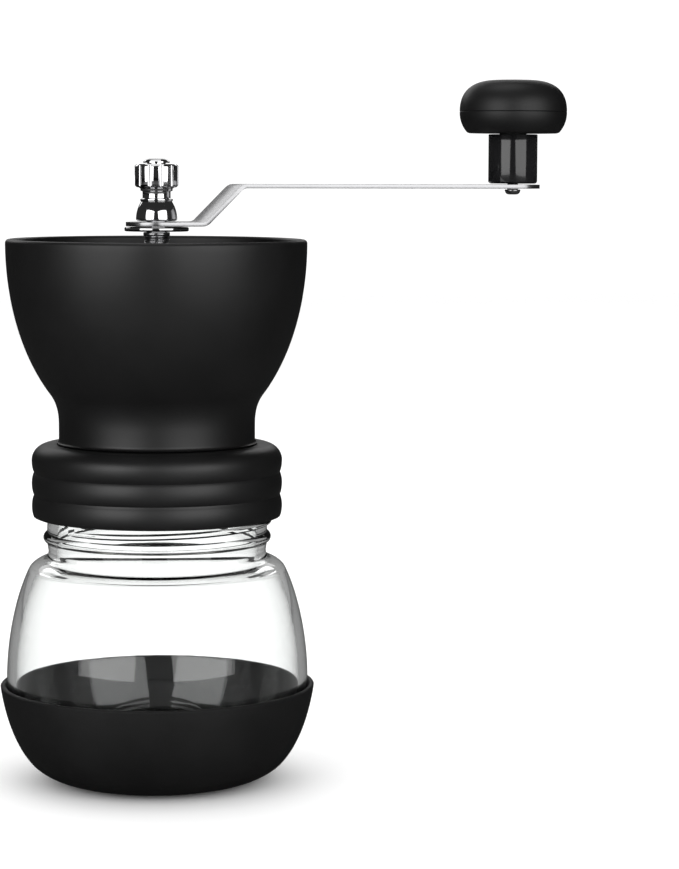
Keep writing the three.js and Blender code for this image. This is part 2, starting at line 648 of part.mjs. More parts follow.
function innerBurrGeometry() {
  const body = revolve(
    [
      point(INNER_BURR_BORE, INNER_BURR_BOTTOM),
      point(INNER_BURR_RADIUS, INNER_BURR_BOTTOM),
      point(INNER_BURR_RADIUS, CONE_BOTTOM),
      point(INNER_BURR_TOP_RADIUS, CONE_TOP),
      point(INNER_BURR_BORE, CONE_TOP),
    ],
    MID_SEGMENTS,
  );
  const slot = keyGeometry(
    INNER_BURR_BORE,
    KEY_WIDTH + 2 * SEAT_GAP,
    KEY_HEIGHT + SEAT_GAP,
    INNER_BURR_BOTTOM - 1,
    CARRIER_TOP + SEAT_GAP,
  );
  return cut(body, ...around(BURR_FLUTES, fluteGeometry()), ...around(CARRIER_KEYS, slot));
}

function retainerGeometry() {
  const inner = OUTER_BURR_RADIUS - RETAINER_LIP;
  const ring = tube(inner, CORE_LOWER_RADIUS, RETAINER_BOTTOM, RETAINER_TOP, WIDE_SEGMENTS);
  const hole = rod(SCREW_HOLE_RADIUS, RETAINER_BOTTOM - 1, RETAINER_TOP + 1, 12);
  return cut(ring, ...around(SCREWS, hole.translate(SCREW_CIRCLE, 0, 0), 90));
}

// A pan head screw with a cross recess, upside down, centred on its own axis.
function screwGeometry() {
  const headTop = RETAINER_BOTTOM - SEAT_GAP;
  const headBottom = headTop - SCREW_HEAD_HEIGHT;
  const body = revolve(
    [
      point(0, headBottom),
      point(SCREW_HEAD_RADIUS - 0.7, headBottom),
      point(SCREW_HEAD_RADIUS, headBottom + 0.7),
      point(SCREW_HEAD_RADIUS, headTop),
      point(SCREW_RADIUS, headTop),
      point(SCREW_RADIUS, headTop + SCREW_LENGTH - 1),
      point(0, headTop + SCREW_LENGTH),
    ],
    12,
  );
  const slot = box(SCREW_HEAD_RADIUS * 1.2, 0.6, 1.8, 0, 0, headBottom);
  return cut(body, slot, slot.clone().rotateZ(Math.PI / 2));
}

// ---------------------------------------------------------------- drive

// A stepped shaft. Flats at the bottom drive the burr, and flats at the top drive the crank.
function shaftGeometry() {
  const body = revolve(
    [
      point(0, SHAFT_BOTTOM),
      point(SHAFT_RADIUS - 0.6, SHAFT_BOTTOM),
      point(SHAFT_RADIUS, SHAFT_BOTTOM + 0.6),
      point(SHAFT_RADIUS, SHAFT_SHOULDER),
      point(SHAFT_END_RADIUS, SHAFT_SHOULDER),
      point(SHAFT_END_RADIUS, SHAFT_END - 0.6),
      point(SHAFT_END_RADIUS - 0.6, SHAFT_END),
      point(0, SHAFT_END),
    ],
    SMALL_SEGMENTS,
  );
  const flat = (across, bottom, top, side) =>
    box(20, 10, top - bottom, 0, side * (across / 2 + 5), (top + bottom) / 2);
  const crankSeatTop = ARM_TOP + SEAT_GAP;
  return cut(
    body,
    flat(FLATS_ACROSS, SHAFT_SHOULDER, crankSeatTop, 1),
    flat(FLATS_ACROSS, SHAFT_SHOULDER, crankSeatTop, -1),
    flat(LOWER_FLATS_ACROSS, SHAFT_BOTTOM - 1, LOWER_FLATS_TOP, 1),
    flat(LOWER_FLATS_ACROSS, SHAFT_BOTTOM - 1, LOWER_FLATS_TOP, -1),
  );
}

// A thin washer on the shaft.
function washerGeometry(outer, bottom, thickness) {
  return tube(BUSH_INNER, outer, bottom, bottom + thickness, SMALL_SEGMENTS);
}

// A round nut with grip grooves down its edge.
function grippedNut({ radius, bottom, height, grips, grooveRadius, grooveDepth, bore, segments }) {
  const body = tube(bore, radius, bottom, bottom + height, segments);
  const centre = radius + grooveRadius - grooveDepth;
  const groove = rod(grooveRadius, bottom - 1, bottom + height + 1, 8).translate(centre, 0, 0);
  return cut(body, ...around(grips, groove));
}

function adjustNutGeometry() {
  return grippedNut({
    radius: ADJUST_NUT_RADIUS,
    bottom: ADJUST_NUT_BOTTOM,
    height: ADJUST_NUT_HEIGHT,
    grips: ADJUST_NUT_GRIPS,
    grooveRadius: 1.1,
    grooveDepth: 0.7,
    bore: SHAFT_RADIUS + RUN_GAP,
    segments: MID_SEGMENTS,
  });
}

// A flange under the inner burr and a keyed boss inside it, with a bore that fits the shaft's flats.
function carrierGeometry() {
  const bossRadius = INNER_BURR_BORE - SEAT_GAP;
  const body = revolve(
    [
      point(0, CARRIER_BOTTOM),
      point(CARRIER_FLANGE_RADIUS, CARRIER_BOTTOM),
      point(CARRIER_FLANGE_RADIUS, CARRIER_FLANGE_TOP),
      point(bossRadius, CARRIER_FLANGE_TOP),
      point(bossRadius, CARRIER_TOP),
      point(0, CARRIER_TOP),
    ],
    MID_SEGMENTS,
  );
  const key = keyGeometry(bossRadius, KEY_WIDTH, KEY_HEIGHT, CARRIER_BOTTOM, CARRIER_TOP - 1);
  const bore = plate(
    flattedCircle(SHAFT_RADIUS + RUN_GAP, LOWER_FLATS_ACROSS + 2 * RUN_GAP),
    CARRIER_BOTTOM - 1,
    CARRIER_BOSS_HEIGHT + 6,
  );
  return cut(join(body, ...around(CARRIER_KEYS, key)), bore);
}

// A coil spring with closed ends' height, wound from round wire.
function springGeometry() {
  const bottom = CARRIER_TOP + SEAT_GAP + WASHER + SEAT_GAP + SPRING_WIRE_RADIUS;
  const top = LOWER_BUSH_BOTTOM - SEAT_GAP - WASHER - SEAT_GAP - SPRING_WIRE_RADIUS;
  const steps = SPRING_TURNS * COIL_SEGMENTS;
  const path = new THREE.CatmullRomCurve3(
    Array.from({ length: steps + 1 }, (_, i) => {
      const turn = (i / steps) * SPRING_TURNS * 2 * Math.PI;
      const height = bottom + ((top - bottom) * i) / steps;
      return new THREE.Vector3().setFromCylindricalCoords(SPRING_COIL_RADIUS, turn, height);
    }),
  );
  const wire = new THREE.Shape();
  wire.absarc(0, 0, SPRING_WIRE_RADIUS, 0, 2 * Math.PI, false);
  const coil = new THREE.ExtrudeGeometry(wire, { extrudePath: path, steps, curveSegments: 3 });
  return coil.rotateX(Math.PI / 2);
}

// An open ring that snaps into the shaft's end.
function clipGeometry() {
  const ring = tube(BUSH_INNER, CLIP_RADIUS, CLIP_TOP - CLIP_THICKNESS, CLIP_TOP, SMALL_SEGMENTS);
  return cut(ring, box(2 * CLIP_RADIUS, CLIP_MOUTH, 2 * CLIP_THICKNESS, CLIP_RADIUS, 0, CLIP_TOP));
}

// ---------------------------------------------------------------- crank

// The washer that seats the crank, with the same two flats in its hole as the shaft has.
function driveWasherGeometry() {
  const disc = new THREE.Shape().absarc(0, 0, DRIVE_WASHER_RADIUS, 0, 2 * Math.PI, false);
  disc.holes.push(flattedCircle(SHAFT_END_RADIUS + RUN_GAP, FLATS_ACROSS + 2 * RUN_GAP));
  return plate(disc, DRIVE_WASHER_BOTTOM, DRIVE_WASHER, 14);
}

// The side outline of the cranked strip, in (along, height), with rounded bends.
function armSideShape() {
  const slope = radians(ARM_BEND_ANGLE);
  const tangent = ARM_BEND_RADIUS * Math.tan(slope / 2);
  const slopeEnd = ARM_BEND_START + ARM_RISE / Math.tan(slope);
  const middle = [
    point(-ARM_HUB_RADIUS - 2, 0),
    point(ARM_BEND_START - tangent, 0),
    ...curve(
      [
        point(ARM_BEND_START - tangent, 0),
        point(ARM_BEND_START, 0),
        point(ARM_BEND_START + tangent * Math.cos(slope), tangent * Math.sin(slope)),
      ],
      4,
    ).slice(1),
    ...curve(
      [
        point(slopeEnd - tangent * Math.cos(slope), ARM_RISE - tangent * Math.sin(slope)),
        point(slopeEnd, ARM_RISE),
        point(slopeEnd + tangent, ARM_RISE),
      ],
      4,
    ),
    point(ARM_REACH + ARM_END_RADIUS + 2, ARM_RISE),
  ];
  const top = middle.map((p) => point(p.x, p.y + ARM_TOP));
  const under = offset(top, -ARM_THICKNESS);
  return new THREE.Shape([...under, ...top.reverse()]);
}

// The strip's outline from above: two round ends and straight tapering sides.
function armPlanShape() {
  const lean = Math.asin((ARM_HUB_RADIUS - ARM_END_RADIUS) / ARM_REACH);
  const shape = new THREE.Shape();
  shape.absarc(ARM_REACH, 0, ARM_END_RADIUS, -Math.PI / 2 + lean, Math.PI / 2 - lean, false);
  shape.absarc(0, 0, ARM_HUB_RADIUS, Math.PI / 2 - lean, (3 * Math.PI) / 2 + lean, false);
  shape.closePath();
  shape.holes.push(flattedCircle(SHAFT_END_RADIUS + RUN_GAP, FLATS_ACROSS + 2 * RUN_GAP));
  const pinHole = new THREE.Path().absarc(ARM_REACH, 0, PIN_RADIUS - 0.5, 0, 2 * Math.PI, false);
  shape.holes.push(pinHole);
  return shape;
}

function armGeometry() {
  const side = new THREE.ExtrudeGeometry(armSideShape(), { depth: 4 * ARM_HUB_RADIUS, bevelEnabled: false })
    .translate(0, 0, -2 * ARM_HUB_RADIUS)
    .rotateX(Math.PI / 2);
  const plan = plate(armPlanShape(), ARM_BOTTOM - 5, ARM_RISE + 12);
  return geometryOf(solid(side).intersect(solid(plan)));
}

// A tall nut: a bell skirt, a waist and a fluted grip, bored right through.
function thumbNutGeometry() {
  const skirtTop = THUMB_NUT_BOTTOM + THUMB_SKIRT_HEIGHT;
  const gripBottom = THUMB_NUT_TOP - THUMB_GRIP_HEIGHT;
  const skirt = curve(
    [
      point(THUMB_SKIRT_RADIUS, THUMB_NUT_BOTTOM + 0.5),
      point(THUMB_SKIRT_RADIUS - 0.5, skirtTop - 0.6),
      point(THUMB_WAIST_RADIUS + 0.3, skirtTop - 0.2),
    ],
    5,
  );
  const lower = revolve(
    [
      point(THUMB_NUT_BORE, THUMB_NUT_BOTTOM),
      point(THUMB_SKIRT_RADIUS - 0.4, THUMB_NUT_BOTTOM),
      ...skirt,
      point(THUMB_WAIST_RADIUS, skirtTop),
      point(THUMB_WAIST_RADIUS, gripBottom + 1),
      point(THUMB_NUT_BORE, gripBottom + 1),
    ],
    MID_SEGMENTS,
  );
  const grip = grippedNut({
    radius: THUMB_GRIP_RADIUS,
    bottom: gripBottom,
    height: THUMB_GRIP_HEIGHT,
    grips: THUMB_GRIPS,
    grooveRadius: 1,
    grooveDepth: 0.5,
    bore: THUMB_NUT_BORE,
    segments: MID_SEGMENTS,
  });
  return join(lower, grip);
}

// The button that closes the thumb nut's bore.
function nutCapGeometry() {
  const seat = THUMB_NUT_TOP + SEAT_GAP;
  return revolve(
    [
      point(0, SHAFT_END + 3),
      point(SHAFT_END_RADIUS - 0.2, SHAFT_END + 3),
      point(SHAFT_END_RADIUS - 0.2, seat),
      point(NUT_CAP_RADIUS, seat),
      point(NUT_CAP_RADIUS - 0.8, seat + NUT_CAP_HEIGHT),
      point(0, seat + NUT_CAP_HEIGHT),
    ],
    SMALL_SEGMENTS,
  );
}

// ---------------------------------------------------------------- knob, on its own axis

// A shouldered pin: a head inside the stem, a journal, and a tail riveted under the arm.
function knobPinGeometry() {
  const tail = LONG_FLAT_TOP - ARM_THICKNESS - SEAT_GAP;
  const headBottom = STEM_TOP - CAP_SPIGOT - PIN_HEAD_HEIGHT - 2 * SEAT_GAP;
  return revolve(
    [
      point(0, tail - PIN_TAIL),
      point(PIN_RADIUS - 0.6, tail - PIN_TAIL),
      point(PIN_RADIUS, tail),
      point(PIN_RADIUS - 0.8, tail),
      point(PIN_RADIUS - 0.8, LONG_FLAT_TOP + SEAT_GAP),
      point(PIN_RADIUS, LONG_FLAT_TOP + SEAT_GAP),
      point(PIN_RADIUS, headBottom),
      point(PIN_HEAD_RADIUS, headBottom),
      point(PIN_HEAD_RADIUS, headBottom + PIN_HEAD_HEIGHT),
      point(0, headBottom + PIN_HEAD_HEIGHT),
    ],
    SMALL_SEGMENTS,
  );
}

// A sleeve that turns on the pin, with a counterbore for the pin's head.
function knobStemGeometry() {
  const seat = STEM_TOP - CAP_SPIGOT - PIN_HEAD_HEIGHT - 3 * SEAT_GAP;
  return revolve(
    [
      point(PIN_RADIUS + RUN_GAP, STEM_BOTTOM),
      point(KNOB_STEM_RADIUS - 0.4, STEM_BOTTOM),
      point(KNOB_STEM_RADIUS, STEM_BOTTOM + 0.4),
      point(KNOB_STEM_RADIUS, STEM_TOP),
      point(PIN_HEAD_RADIUS + RUN_GAP, STEM_TOP),
      point(PIN_HEAD_RADIUS + RUN_GAP, seat),
      point(PIN_RADIUS + RUN_GAP, seat),
    ],
    MID_SEGMENTS,
  );
}

// A mushroom cap with a spigot that plugs the stem.
function knobHeadGeometry() {
  const belly = KNOB_BOTTOM + KNOB_BELLY_HEIGHT;
  const top = KNOB_BOTTOM + KNOB_HEIGHT;
  const spigot = PIN_HEAD_RADIUS + RUN_GAP - SEAT_GAP;
  const under = curve(
    [point(KNOB_FOOT_RADIUS, KNOB_BOTTOM), point(KNOB_RADIUS, KNOB_BOTTOM + 2.6), point(KNOB_RADIUS, belly)],
    3,
  );
  const crown = curve(
    [point(KNOB_RADIUS, belly), point(KNOB_RADIUS, top - 3), point(KNOB_RADIUS - 4, top), point(5, top)],
    6,
  );
  return revolve(
    [
      point(0, STEM_TOP - CAP_SPIGOT),
      point(spigot, STEM_TOP - CAP_SPIGOT),
      point(spigot, KNOB_BOTTOM),
      ...under,
      ...crown.slice(1),
      point(0, top),
    ],
    MID_SEGMENTS,
  );
}

// ---------------------------------------------------------------- assembly

const finish = (color, roughness, metalness) => ({ color, roughness, metalness });
const finishes = {
  blackRubber: finish("#1c1c1d", 0.85, 0),
  glass: finish("#f2f5f5", 0.03, 0),
  clearSilicone: finish("#e4e4e0", 0.5, 0),
  blackPlastic: finish("#1e1e1f", 0.5, 0),
  glossPlastic: finish("#161617", 0.2, 0),
  nylon: finish("#e9e6dc", 0.45, 0),
  ceramic: finish("#eeece6", 0.3, 0),
  chrome: finish("#d9dadb", 0.06, 1),
  steel: finish("#c3c4c5", 0.25, 1),
};

const grinder = new THREE.Group();

function add(group, name, geometry, look, x = 0) {
  const mesh = new THREE.Mesh(geometry, new THREE.MeshStandardMaterial(look));
  mesh.name = name;
  mesh.position.x = x;
  group.add(mesh);
}

function addBase() {
  const base = new THREE.Group();
  add(base, "base_boot", bootGeometry(), finishes.blackRubber);
  add(base, "glass_jar", jarGeometry(), finishes.glass);
  add(base, "jar_gasket", gasketGeometry(), finishes.clearSilicone);
  grinder.add(base);
}

function addMillHead() {
  const head = new THREE.Group();
  add(head, "collar", collarGeometry(), finishes.blackPlastic);
  add(head, "hopper", hopperGeometry(), finishes.blackPlastic);
  add(head, "mill_core", coreGeometry(), finishes.blackPlastic);
  add(head, "upper_bush", bushGeometry(UPPER_BUSH_TOP - BUSH_LENGTH, true), finishes.nylon);
  add(head, "lower_bush", bushGeometry(LOWER_BUSH_BOTTOM, false), finishes.nylon);
  add(head, "outer_burr", outerBurrGeometry(), finishes.ceramic);
  add(head, "burr_retainer", retainerGeometry(), finishes.blackPlastic);
  const screw = screwGeometry().translate(SCREW_CIRCLE, 0, 0);
  around(SCREWS, screw, 90).forEach((geometry, i) => {
    add(head, `retainer_screw_${i + 1}`, geometry, finishes.steel);
  });
  grinder.add(head);
}

function addDrive() {
  const drive = new THREE.Group();
  add(drive, "shaft", shaftGeometry(), finishes.steel);
  const thrustWasher = washerGeometry(THRUST_WASHER_RADIUS, THRUST_WASHER_BOTTOM, THRUST_WASHER);
  add(drive, "thrust_washer", thrustWasher, finishes.steel);
  add(drive, "adjust_nut", adjustNutGeometry(), finishes.steel);
  add(drive, "inner_burr", innerBurrGeometry(), finishes.ceramic);
  add(drive, "burr_carrier", carrierGeometry(), finishes.blackPlastic);
  add(drive, "burr_spring", springGeometry(), finishes.steel);
  const springWasherRadius = INNER_BURR_BORE - 2 * SEAT_GAP;
  const lowerSeat = CARRIER_TOP + SEAT_GAP;
  const upperSeat = LOWER_BUSH_BOTTOM - SEAT_GAP - WASHER;
  add(drive, "spring_washer_lower", washerGeometry(springWasherRadius, lowerSeat, WASHER), finishes.steel);
  add(drive, "spring_washer_upper", washerGeometry(springWasherRadius, upperSeat, WASHER), finishes.steel);
  const endWasher = washerGeometry(END_WASHER_RADIUS, CARRIER_BOTTOM - SEAT_GAP - WASHER, WASHER);
  add(drive, "burr_end_washer", endWasher, finishes.steel);
  add(drive, "burr_clip", clipGeometry(), finishes.steel);
  grinder.add(drive);
}

function addCrank() {
  const crank = new THREE.Group();
  add(crank, "drive_washer", driveWasherGeometry(), finishes.chrome);
  add(crank, "crank_arm", armGeometry(), finishes.chrome);
  add(crank, "thumb_nut", thumbNutGeometry(), finishes.chrome);
  add(crank, "nut_cap", nutCapGeometry(), finishes.chrome);
  add(crank, "knob_pin", knobPinGeometry(), finishes.steel, ARM_REACH);
  add(crank, "knob_stem", knobStemGeometry(), finishes.glossPlastic, ARM_REACH);
  add(crank, "knob_head", knobHeadGeometry(), finishes.blackPlastic, ARM_REACH);
  grinder.add(crank);
}

addBase();
addMillHead();
addDrive();
addCrank();

export default grinder;
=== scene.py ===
# %% [markdown]
# # A hand crank coffee grinder
#
# The grinder is a stack of turned shapes on one upright axis: a rubber boot, a glass jar, a ribbed
# collar and an open hopper, with a crank clamped on top of a vertical shaft. The design already
# fixes where every piece sits and how it moves. This lesson gives each piece its fine surface.
#
# Sizes below are in millimetres, and a helper turns them into metres when a mesh is made.

# %% Start from the design
import json
from math import asin, cos, hypot, pi, radians, sin, tan

import bpy
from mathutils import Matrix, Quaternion, Vector


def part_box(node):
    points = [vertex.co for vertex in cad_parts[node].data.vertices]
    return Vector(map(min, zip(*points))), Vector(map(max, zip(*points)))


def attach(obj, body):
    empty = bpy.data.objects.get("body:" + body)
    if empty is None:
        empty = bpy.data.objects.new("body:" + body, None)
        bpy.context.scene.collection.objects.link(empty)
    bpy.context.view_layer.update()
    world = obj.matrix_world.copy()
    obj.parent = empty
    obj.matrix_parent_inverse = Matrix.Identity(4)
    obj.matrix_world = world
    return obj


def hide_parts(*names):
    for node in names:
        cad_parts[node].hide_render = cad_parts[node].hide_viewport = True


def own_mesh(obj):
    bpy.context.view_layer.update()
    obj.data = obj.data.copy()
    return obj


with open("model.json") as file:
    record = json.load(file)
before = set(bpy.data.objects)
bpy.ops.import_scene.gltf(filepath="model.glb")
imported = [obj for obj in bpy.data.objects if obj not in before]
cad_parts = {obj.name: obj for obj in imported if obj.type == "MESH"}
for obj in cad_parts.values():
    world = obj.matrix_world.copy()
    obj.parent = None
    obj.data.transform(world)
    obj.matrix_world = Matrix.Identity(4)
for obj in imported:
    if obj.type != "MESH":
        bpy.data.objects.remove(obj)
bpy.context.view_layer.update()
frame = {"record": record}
MM = 0.001
behaviour = frame["record"]["behaviour"]
body_of = {part: body for body, parts in behaviour["bodies"].items() for part in parts}

# %% [markdown]
# Every piece stands where its design node stands, so heights and radii are read from the node's
# box. Pieces that fit together keep the small gaps that the design gives them.

# %% Read heights and radii from the design
def bottom(node):
    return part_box(node)[0].z / MM


def top(node):
    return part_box(node)[1].z / MM


def span(node):
    """The lowest and the highest point of a design node."""
    return bottom(node), top(node)


def radius(node):
    """Half of a design node's width across the crank."""
    low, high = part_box(node)
    return (high.y - low.y) / 2 / MM


SEAT_GAP = 0.3  # between faces that rest on each other
RUN_GAP = 0.2  # radial, between a shaft and what it turns in
arm_reach = (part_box("knob_stem")[0].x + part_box("knob_stem")[1].x) / 2 / MM
print("rim height", round(top("hopper"), 1), "crank reach", round(arm_reach, 1))

# %% [markdown]
# Outlines are drawn the way a wood turner draws them, as a line of points at a radius and a
# height. Curved stretches come from Bezier curves and arcs, so only the few points that decide the
# shape are written down.

# %% Curves for outlines
def bezier(controls, steps):
    """Points along a Bezier curve through its first and last control point."""
    def at(share):
        points = controls
        while len(points) > 1:
            points = [
                (a[0] + (b[0] - a[0]) * share, a[1] + (b[1] - a[1]) * share)
                for a, b in zip(points, points[1:])
            ]
        return points[0]
    return [at(i / steps) for i in range(steps + 1)]


def arc(middle, bend, start, end, steps):
    """Points along an arc about a middle, from one angle to another in degrees."""
    angles = [radians(start + (end - start) * i / steps) for i in range(steps + 1)]
    return [(middle[0] + bend * cos(a), middle[1] + bend * sin(a)) for a in angles]


def inset(outline, distance):
    """The outline moved to the left of its direction of travel."""
    moved = []
    for i, (x, y) in enumerate(outline):
        before, after = outline[max(i - 1, 0)], outline[min(i + 1, len(outline) - 1)]
        dx, dy = after[0] - before[0], after[1] - before[1]
        length = hypot(dx, dy)
        moved.append((x - dy / length * distance, y + dx / length * distance))
    return moved


def raised(outline, floor):
    """The outline with nothing lower than a floor."""
    return [(r, max(z, floor)) for r, z in outline]


def tube(bore, edge, low, high):
    """The closed outline of a flat ring."""
    return [(bore, low), (edge, low), (edge, high), (bore, high), (bore, low)]


# %% [markdown]
# Most pieces are made as on a lathe. A plane shrunk to one vertex is extruded from point to point
# along the outline, and the line is then spun about an upright axis. Merging doubles closes the
# seam and the poles, and the normals are recalculated because a spin can leave them inside out.
#
# A prism is made in the same way: the drawn line is filled and the face is extruded.

# %% Turn and extrude drawn outlines
ORIGIN = (0, 0, 0)
MERGE_DISTANCE = 0.002 * MM


def line_of(name, points):
    """A mesh of one line through points in metres, left open in edit mode with all selected."""
    bpy.ops.object.select_all(action="DESELECT")
    bpy.ops.mesh.primitive_plane_add(size=MM, location=points[0])
    line = bpy.context.object
    line.name = name
    bpy.ops.object.transform_apply(location=True, rotation=True, scale=True)
    bpy.ops.object.mode_set(mode="EDIT")
    bpy.ops.mesh.merge(type="CENTER")
    for start, end in zip(points, points[1:]):
        step = Vector(end) - Vector(start)
        bpy.ops.mesh.extrude_vertices_move(TRANSFORM_OT_translate={"value": step})
    bpy.ops.mesh.select_all(action="SELECT")
    return line


def tidied():
    """Merges doubles and turns faces outwards, then leaves edit mode."""
    bpy.ops.mesh.select_all(action="SELECT")
    bpy.ops.mesh.remove_doubles(threshold=MERGE_DISTANCE)
    bpy.ops.mesh.normals_make_consistent(inside=False)
    bpy.ops.object.mode_set(mode="OBJECT")


def turned(name, outline, x=0.0, y=0.0, steps=96):
    """A solid of revolution from (radius, height) points about the upright axis at x, y."""
    piece = line_of(name, [((x + r) * MM, y * MM, z * MM) for r, z in outline])
    bpy.ops.mesh.spin(steps=steps, angle=2 * pi, center=(x * MM, y * MM, 0), axis=(0, 0, 1))
    tidied()
    return piece


def prism(name, points, depth):
    """A solid whose outline is a loop of (x, y, z) points, extruded by a (x, y, z) depth."""
    piece = line_of(name, [(x * MM, y * MM, z * MM) for x, y, z in points])
    bpy.ops.mesh.edge_face_add()
    bpy.ops.mesh.extrude_region_move(TRANSFORM_OT_translate={"value": [d * MM for d in depth]})
    tidied()
    return piece


# %% [markdown]
# Modifiers finish the shapes. A bevel with an angle limit rounds only the real corners, and those
# narrow round edges are what catch the light. Booleans cut grooves and holes or join ridges on.
# Each modifier is applied at once, so what is seen is what is kept.

# %% Finish with modifiers
def chosen(piece):
    """Makes a piece the only one selected and the active one."""
    bpy.ops.object.select_all(action="DESELECT")
    piece.select_set(True)
    bpy.context.view_layer.objects.active = piece


def modified(piece, kind, **settings):
    """Adds a modifier with these settings and applies it."""
    chosen(piece)
    bpy.ops.object.modifier_add(type=kind)
    modifier = piece.modifiers[-1]
    for name, value in settings.items():
        setattr(modifier, name, value)
    bpy.ops.object.modifier_apply(modifier=modifier.name)
    return piece


def rounded(piece, width, segments=2, angle=30):
    """Rounds every corner sharper than an angle, in degrees."""
    limit = {"limit_method": "ANGLE", "angle_limit": radians(angle)}
    return modified(piece, "BEVEL", width=width * MM, segments=segments, **limit)


def combined(piece, tools, operation):
    """Cuts tools from a piece or joins them to it, and removes the tools."""
    for tool in tools:
        modified(piece, "BOOLEAN", object=tool, operation=operation, solver="EXACT")
        bpy.data.objects.remove(tool)
    return piece


def cut(piece, *tools):
    return combined(piece, tools, "DIFFERENCE")


def joined(piece, *tools):
    return combined(piece, tools, "UNION")


# %% [markdown]
# Tools for cutting start as primitives. What repeats around the axis is modelled once and then
# copied with a turn, each copy with its own mesh, and the copies are joined into one tool.

# %% Cutting tools
def rod(size, low, high, x=0.0, y=0.0, vertices=32):
    """An upright cylinder between two heights."""
    bpy.ops.object.select_all(action="DESELECT")
    place = {"depth": (high - low) * MM, "location": (x * MM, y * MM, (low + high) / 2 * MM)}
    bpy.ops.mesh.primitive_cylinder_add(vertices=vertices, radius=size * MM, **place)
    bpy.ops.object.transform_apply(location=True, rotation=True, scale=True)
    return bpy.context.object


def block(size, middle):
    """A box by its three sizes and its middle."""
    bpy.ops.object.select_all(action="DESELECT")
    bpy.ops.mesh.primitive_cube_add(size=1, location=[m * MM for m in middle])
    made = bpy.context.object
    made.scale = [s * MM for s in size]
    bpy.ops.object.transform_apply(location=True, rotation=True, scale=True)
    return made


def copied(piece):
    """A copy with its own mesh."""
    copy = piece.copy()
    copy.data = piece.data.copy()
    bpy.context.collection.objects.link(copy)
    return copy


def ring_of(piece, count, start=0.0):
    """Copies a piece evenly about the upright axis and joins the copies into one mesh."""
    copies = [piece] + [copied(piece) for i in range(1, count)]
    chosen(piece)
    for i, copy in enumerate(copies):
        copy.rotation_euler.z = 2 * pi * i / count + radians(start)
        copy.select_set(True)
    bpy.ops.object.transform_apply(location=True, rotation=True, scale=True)
    bpy.ops.object.join()
    return piece


# %% [markdown]
# A thread is a small outline drawn through the air: the Screw modifier turns it about the axis
# while it climbs by the pitch. The ends are sunk step by step into the wall, as on a real thread
# that runs out, and then closed.

# %% Threads
def slice_selected(piece, angle, spread, height, reach):
    """Selects in edit mode the vertices near an angle about the axis and near a height."""
    chosen(piece)
    bpy.ops.object.mode_set(mode="EDIT")
    bpy.ops.mesh.select_all(action="DESELECT")
    bpy.ops.object.mode_set(mode="OBJECT")
    heading = Vector((cos(angle), sin(angle), 0))
    for vertex in piece.data.vertices:
        outwards = Vector((vertex.co.x, vertex.co.y, 0)).normalized()
        level = abs(vertex.co.z - height * MM) < reach * MM
        vertex.select = level and outwards.dot(heading) > cos(spread)
    bpy.ops.object.mode_set(mode="EDIT")
    bpy.ops.mesh.select_mode(type="VERT")


def thread(outline, pitch, turns, start, height, steps=40, runout=0.12, sink=-1.6):
    """A helical ridge. The outline is (radius, height) points, and sink moves its ends sideways."""
    loop = [*outline, outline[0]]
    ridge = line_of("thread", [(r * MM, 0, (z + height) * MM) for r, z in loop])
    bpy.ops.mesh.remove_doubles(threshold=MERGE_DISTANCE)
    bpy.ops.object.mode_set(mode="OBJECT")
    total = round(turns * steps)
    climb = {"angle": 2 * pi * turns, "screw_offset": pitch * turns * MM, "iterations": 1}
    modified(ridge, "SCREW", axis="Z", steps=total, render_steps=total, **climb)
    last = round(runout * steps) if sink else 0
    for i in range(last):
        share = 1 + sink * (1 - i / last) ** 2 / outline[0][0]
        for ring in (i, total - i):
            level = height + pitch * ring / steps
            slice_selected(ridge, 2 * pi * ring / steps, pi / steps, level, pitch / 2)
            bpy.ops.transform.resize(value=(share, share, 1), center_override=ORIGIN)
            bpy.ops.object.mode_set(mode="OBJECT")
    bpy.ops.object.mode_set(mode="EDIT")
    bpy.ops.mesh.select_all(action="SELECT")
    bpy.ops.mesh.fill_holes(sides=0)
    tidied()
    ridge.rotation_euler.z = radians(start)
    bpy.ops.object.transform_apply(location=True, rotation=True, scale=True)
    return ridge


# %% [markdown]
# ## Finishes
#
# Four effects are shared by several materials, so each one is built once as a node group: fine
# grain, brushing in one direction, the rings that a lathe leaves, and worn edges. Every group
# reads Object coordinates, which stay fixed to the piece however it moves.

# %% A helper for node groups
def effect(name, inputs, outputs):
    """An empty node group with float inputs and outputs. Returns the tree and its two ends."""
    tree = bpy.data.node_groups.new(name, "ShaderNodeTree")
    for socket, value in inputs.items():
        made = tree.interface.new_socket(socket, in_out="INPUT", socket_type="NodeSocketFloat")
        made.default_value = value
    for socket in outputs:
        tree.interface.new_socket(socket, in_out="OUTPUT", socket_type="NodeSocketFloat")
    return tree, tree.nodes.new("NodeGroupInput"), tree.nodes.new("NodeGroupOutput")


def added(tree, kind, inputs=None, **settings):
    """Adds a shader node of a kind. Each input is a constant or another node's output."""
    made = tree.nodes.new("ShaderNode" + kind)
    for name, value in settings.items():
        setattr(made, name, value)
    for socket, value in (inputs or {}).items():
        if isinstance(value, bpy.types.NodeSocket):
            tree.links.new(value, made.inputs[socket])
        else:
            made.inputs[socket].default_value = value
    return made


def maths(tree, operation, *values, clamp=False):
    """A Math node on up to three values."""
    inputs = dict(enumerate(values))
    return added(tree, "Math", inputs, operation=operation, use_clamp=clamp).outputs[0]


def noise(tree, vector, scale, detail=3.0):
    """A noise texture's grey value."""
    return added(tree, "TexNoise", {"Vector": vector, "Scale": scale, "Detail": detail}).outputs["Fac"]


def object_axes(tree):
    """Object coordinates as X, Y and Z."""
    place = added(tree, "TexCoord").outputs["Object"]
    return added(tree, "SeparateXYZ", {0: place}).outputs


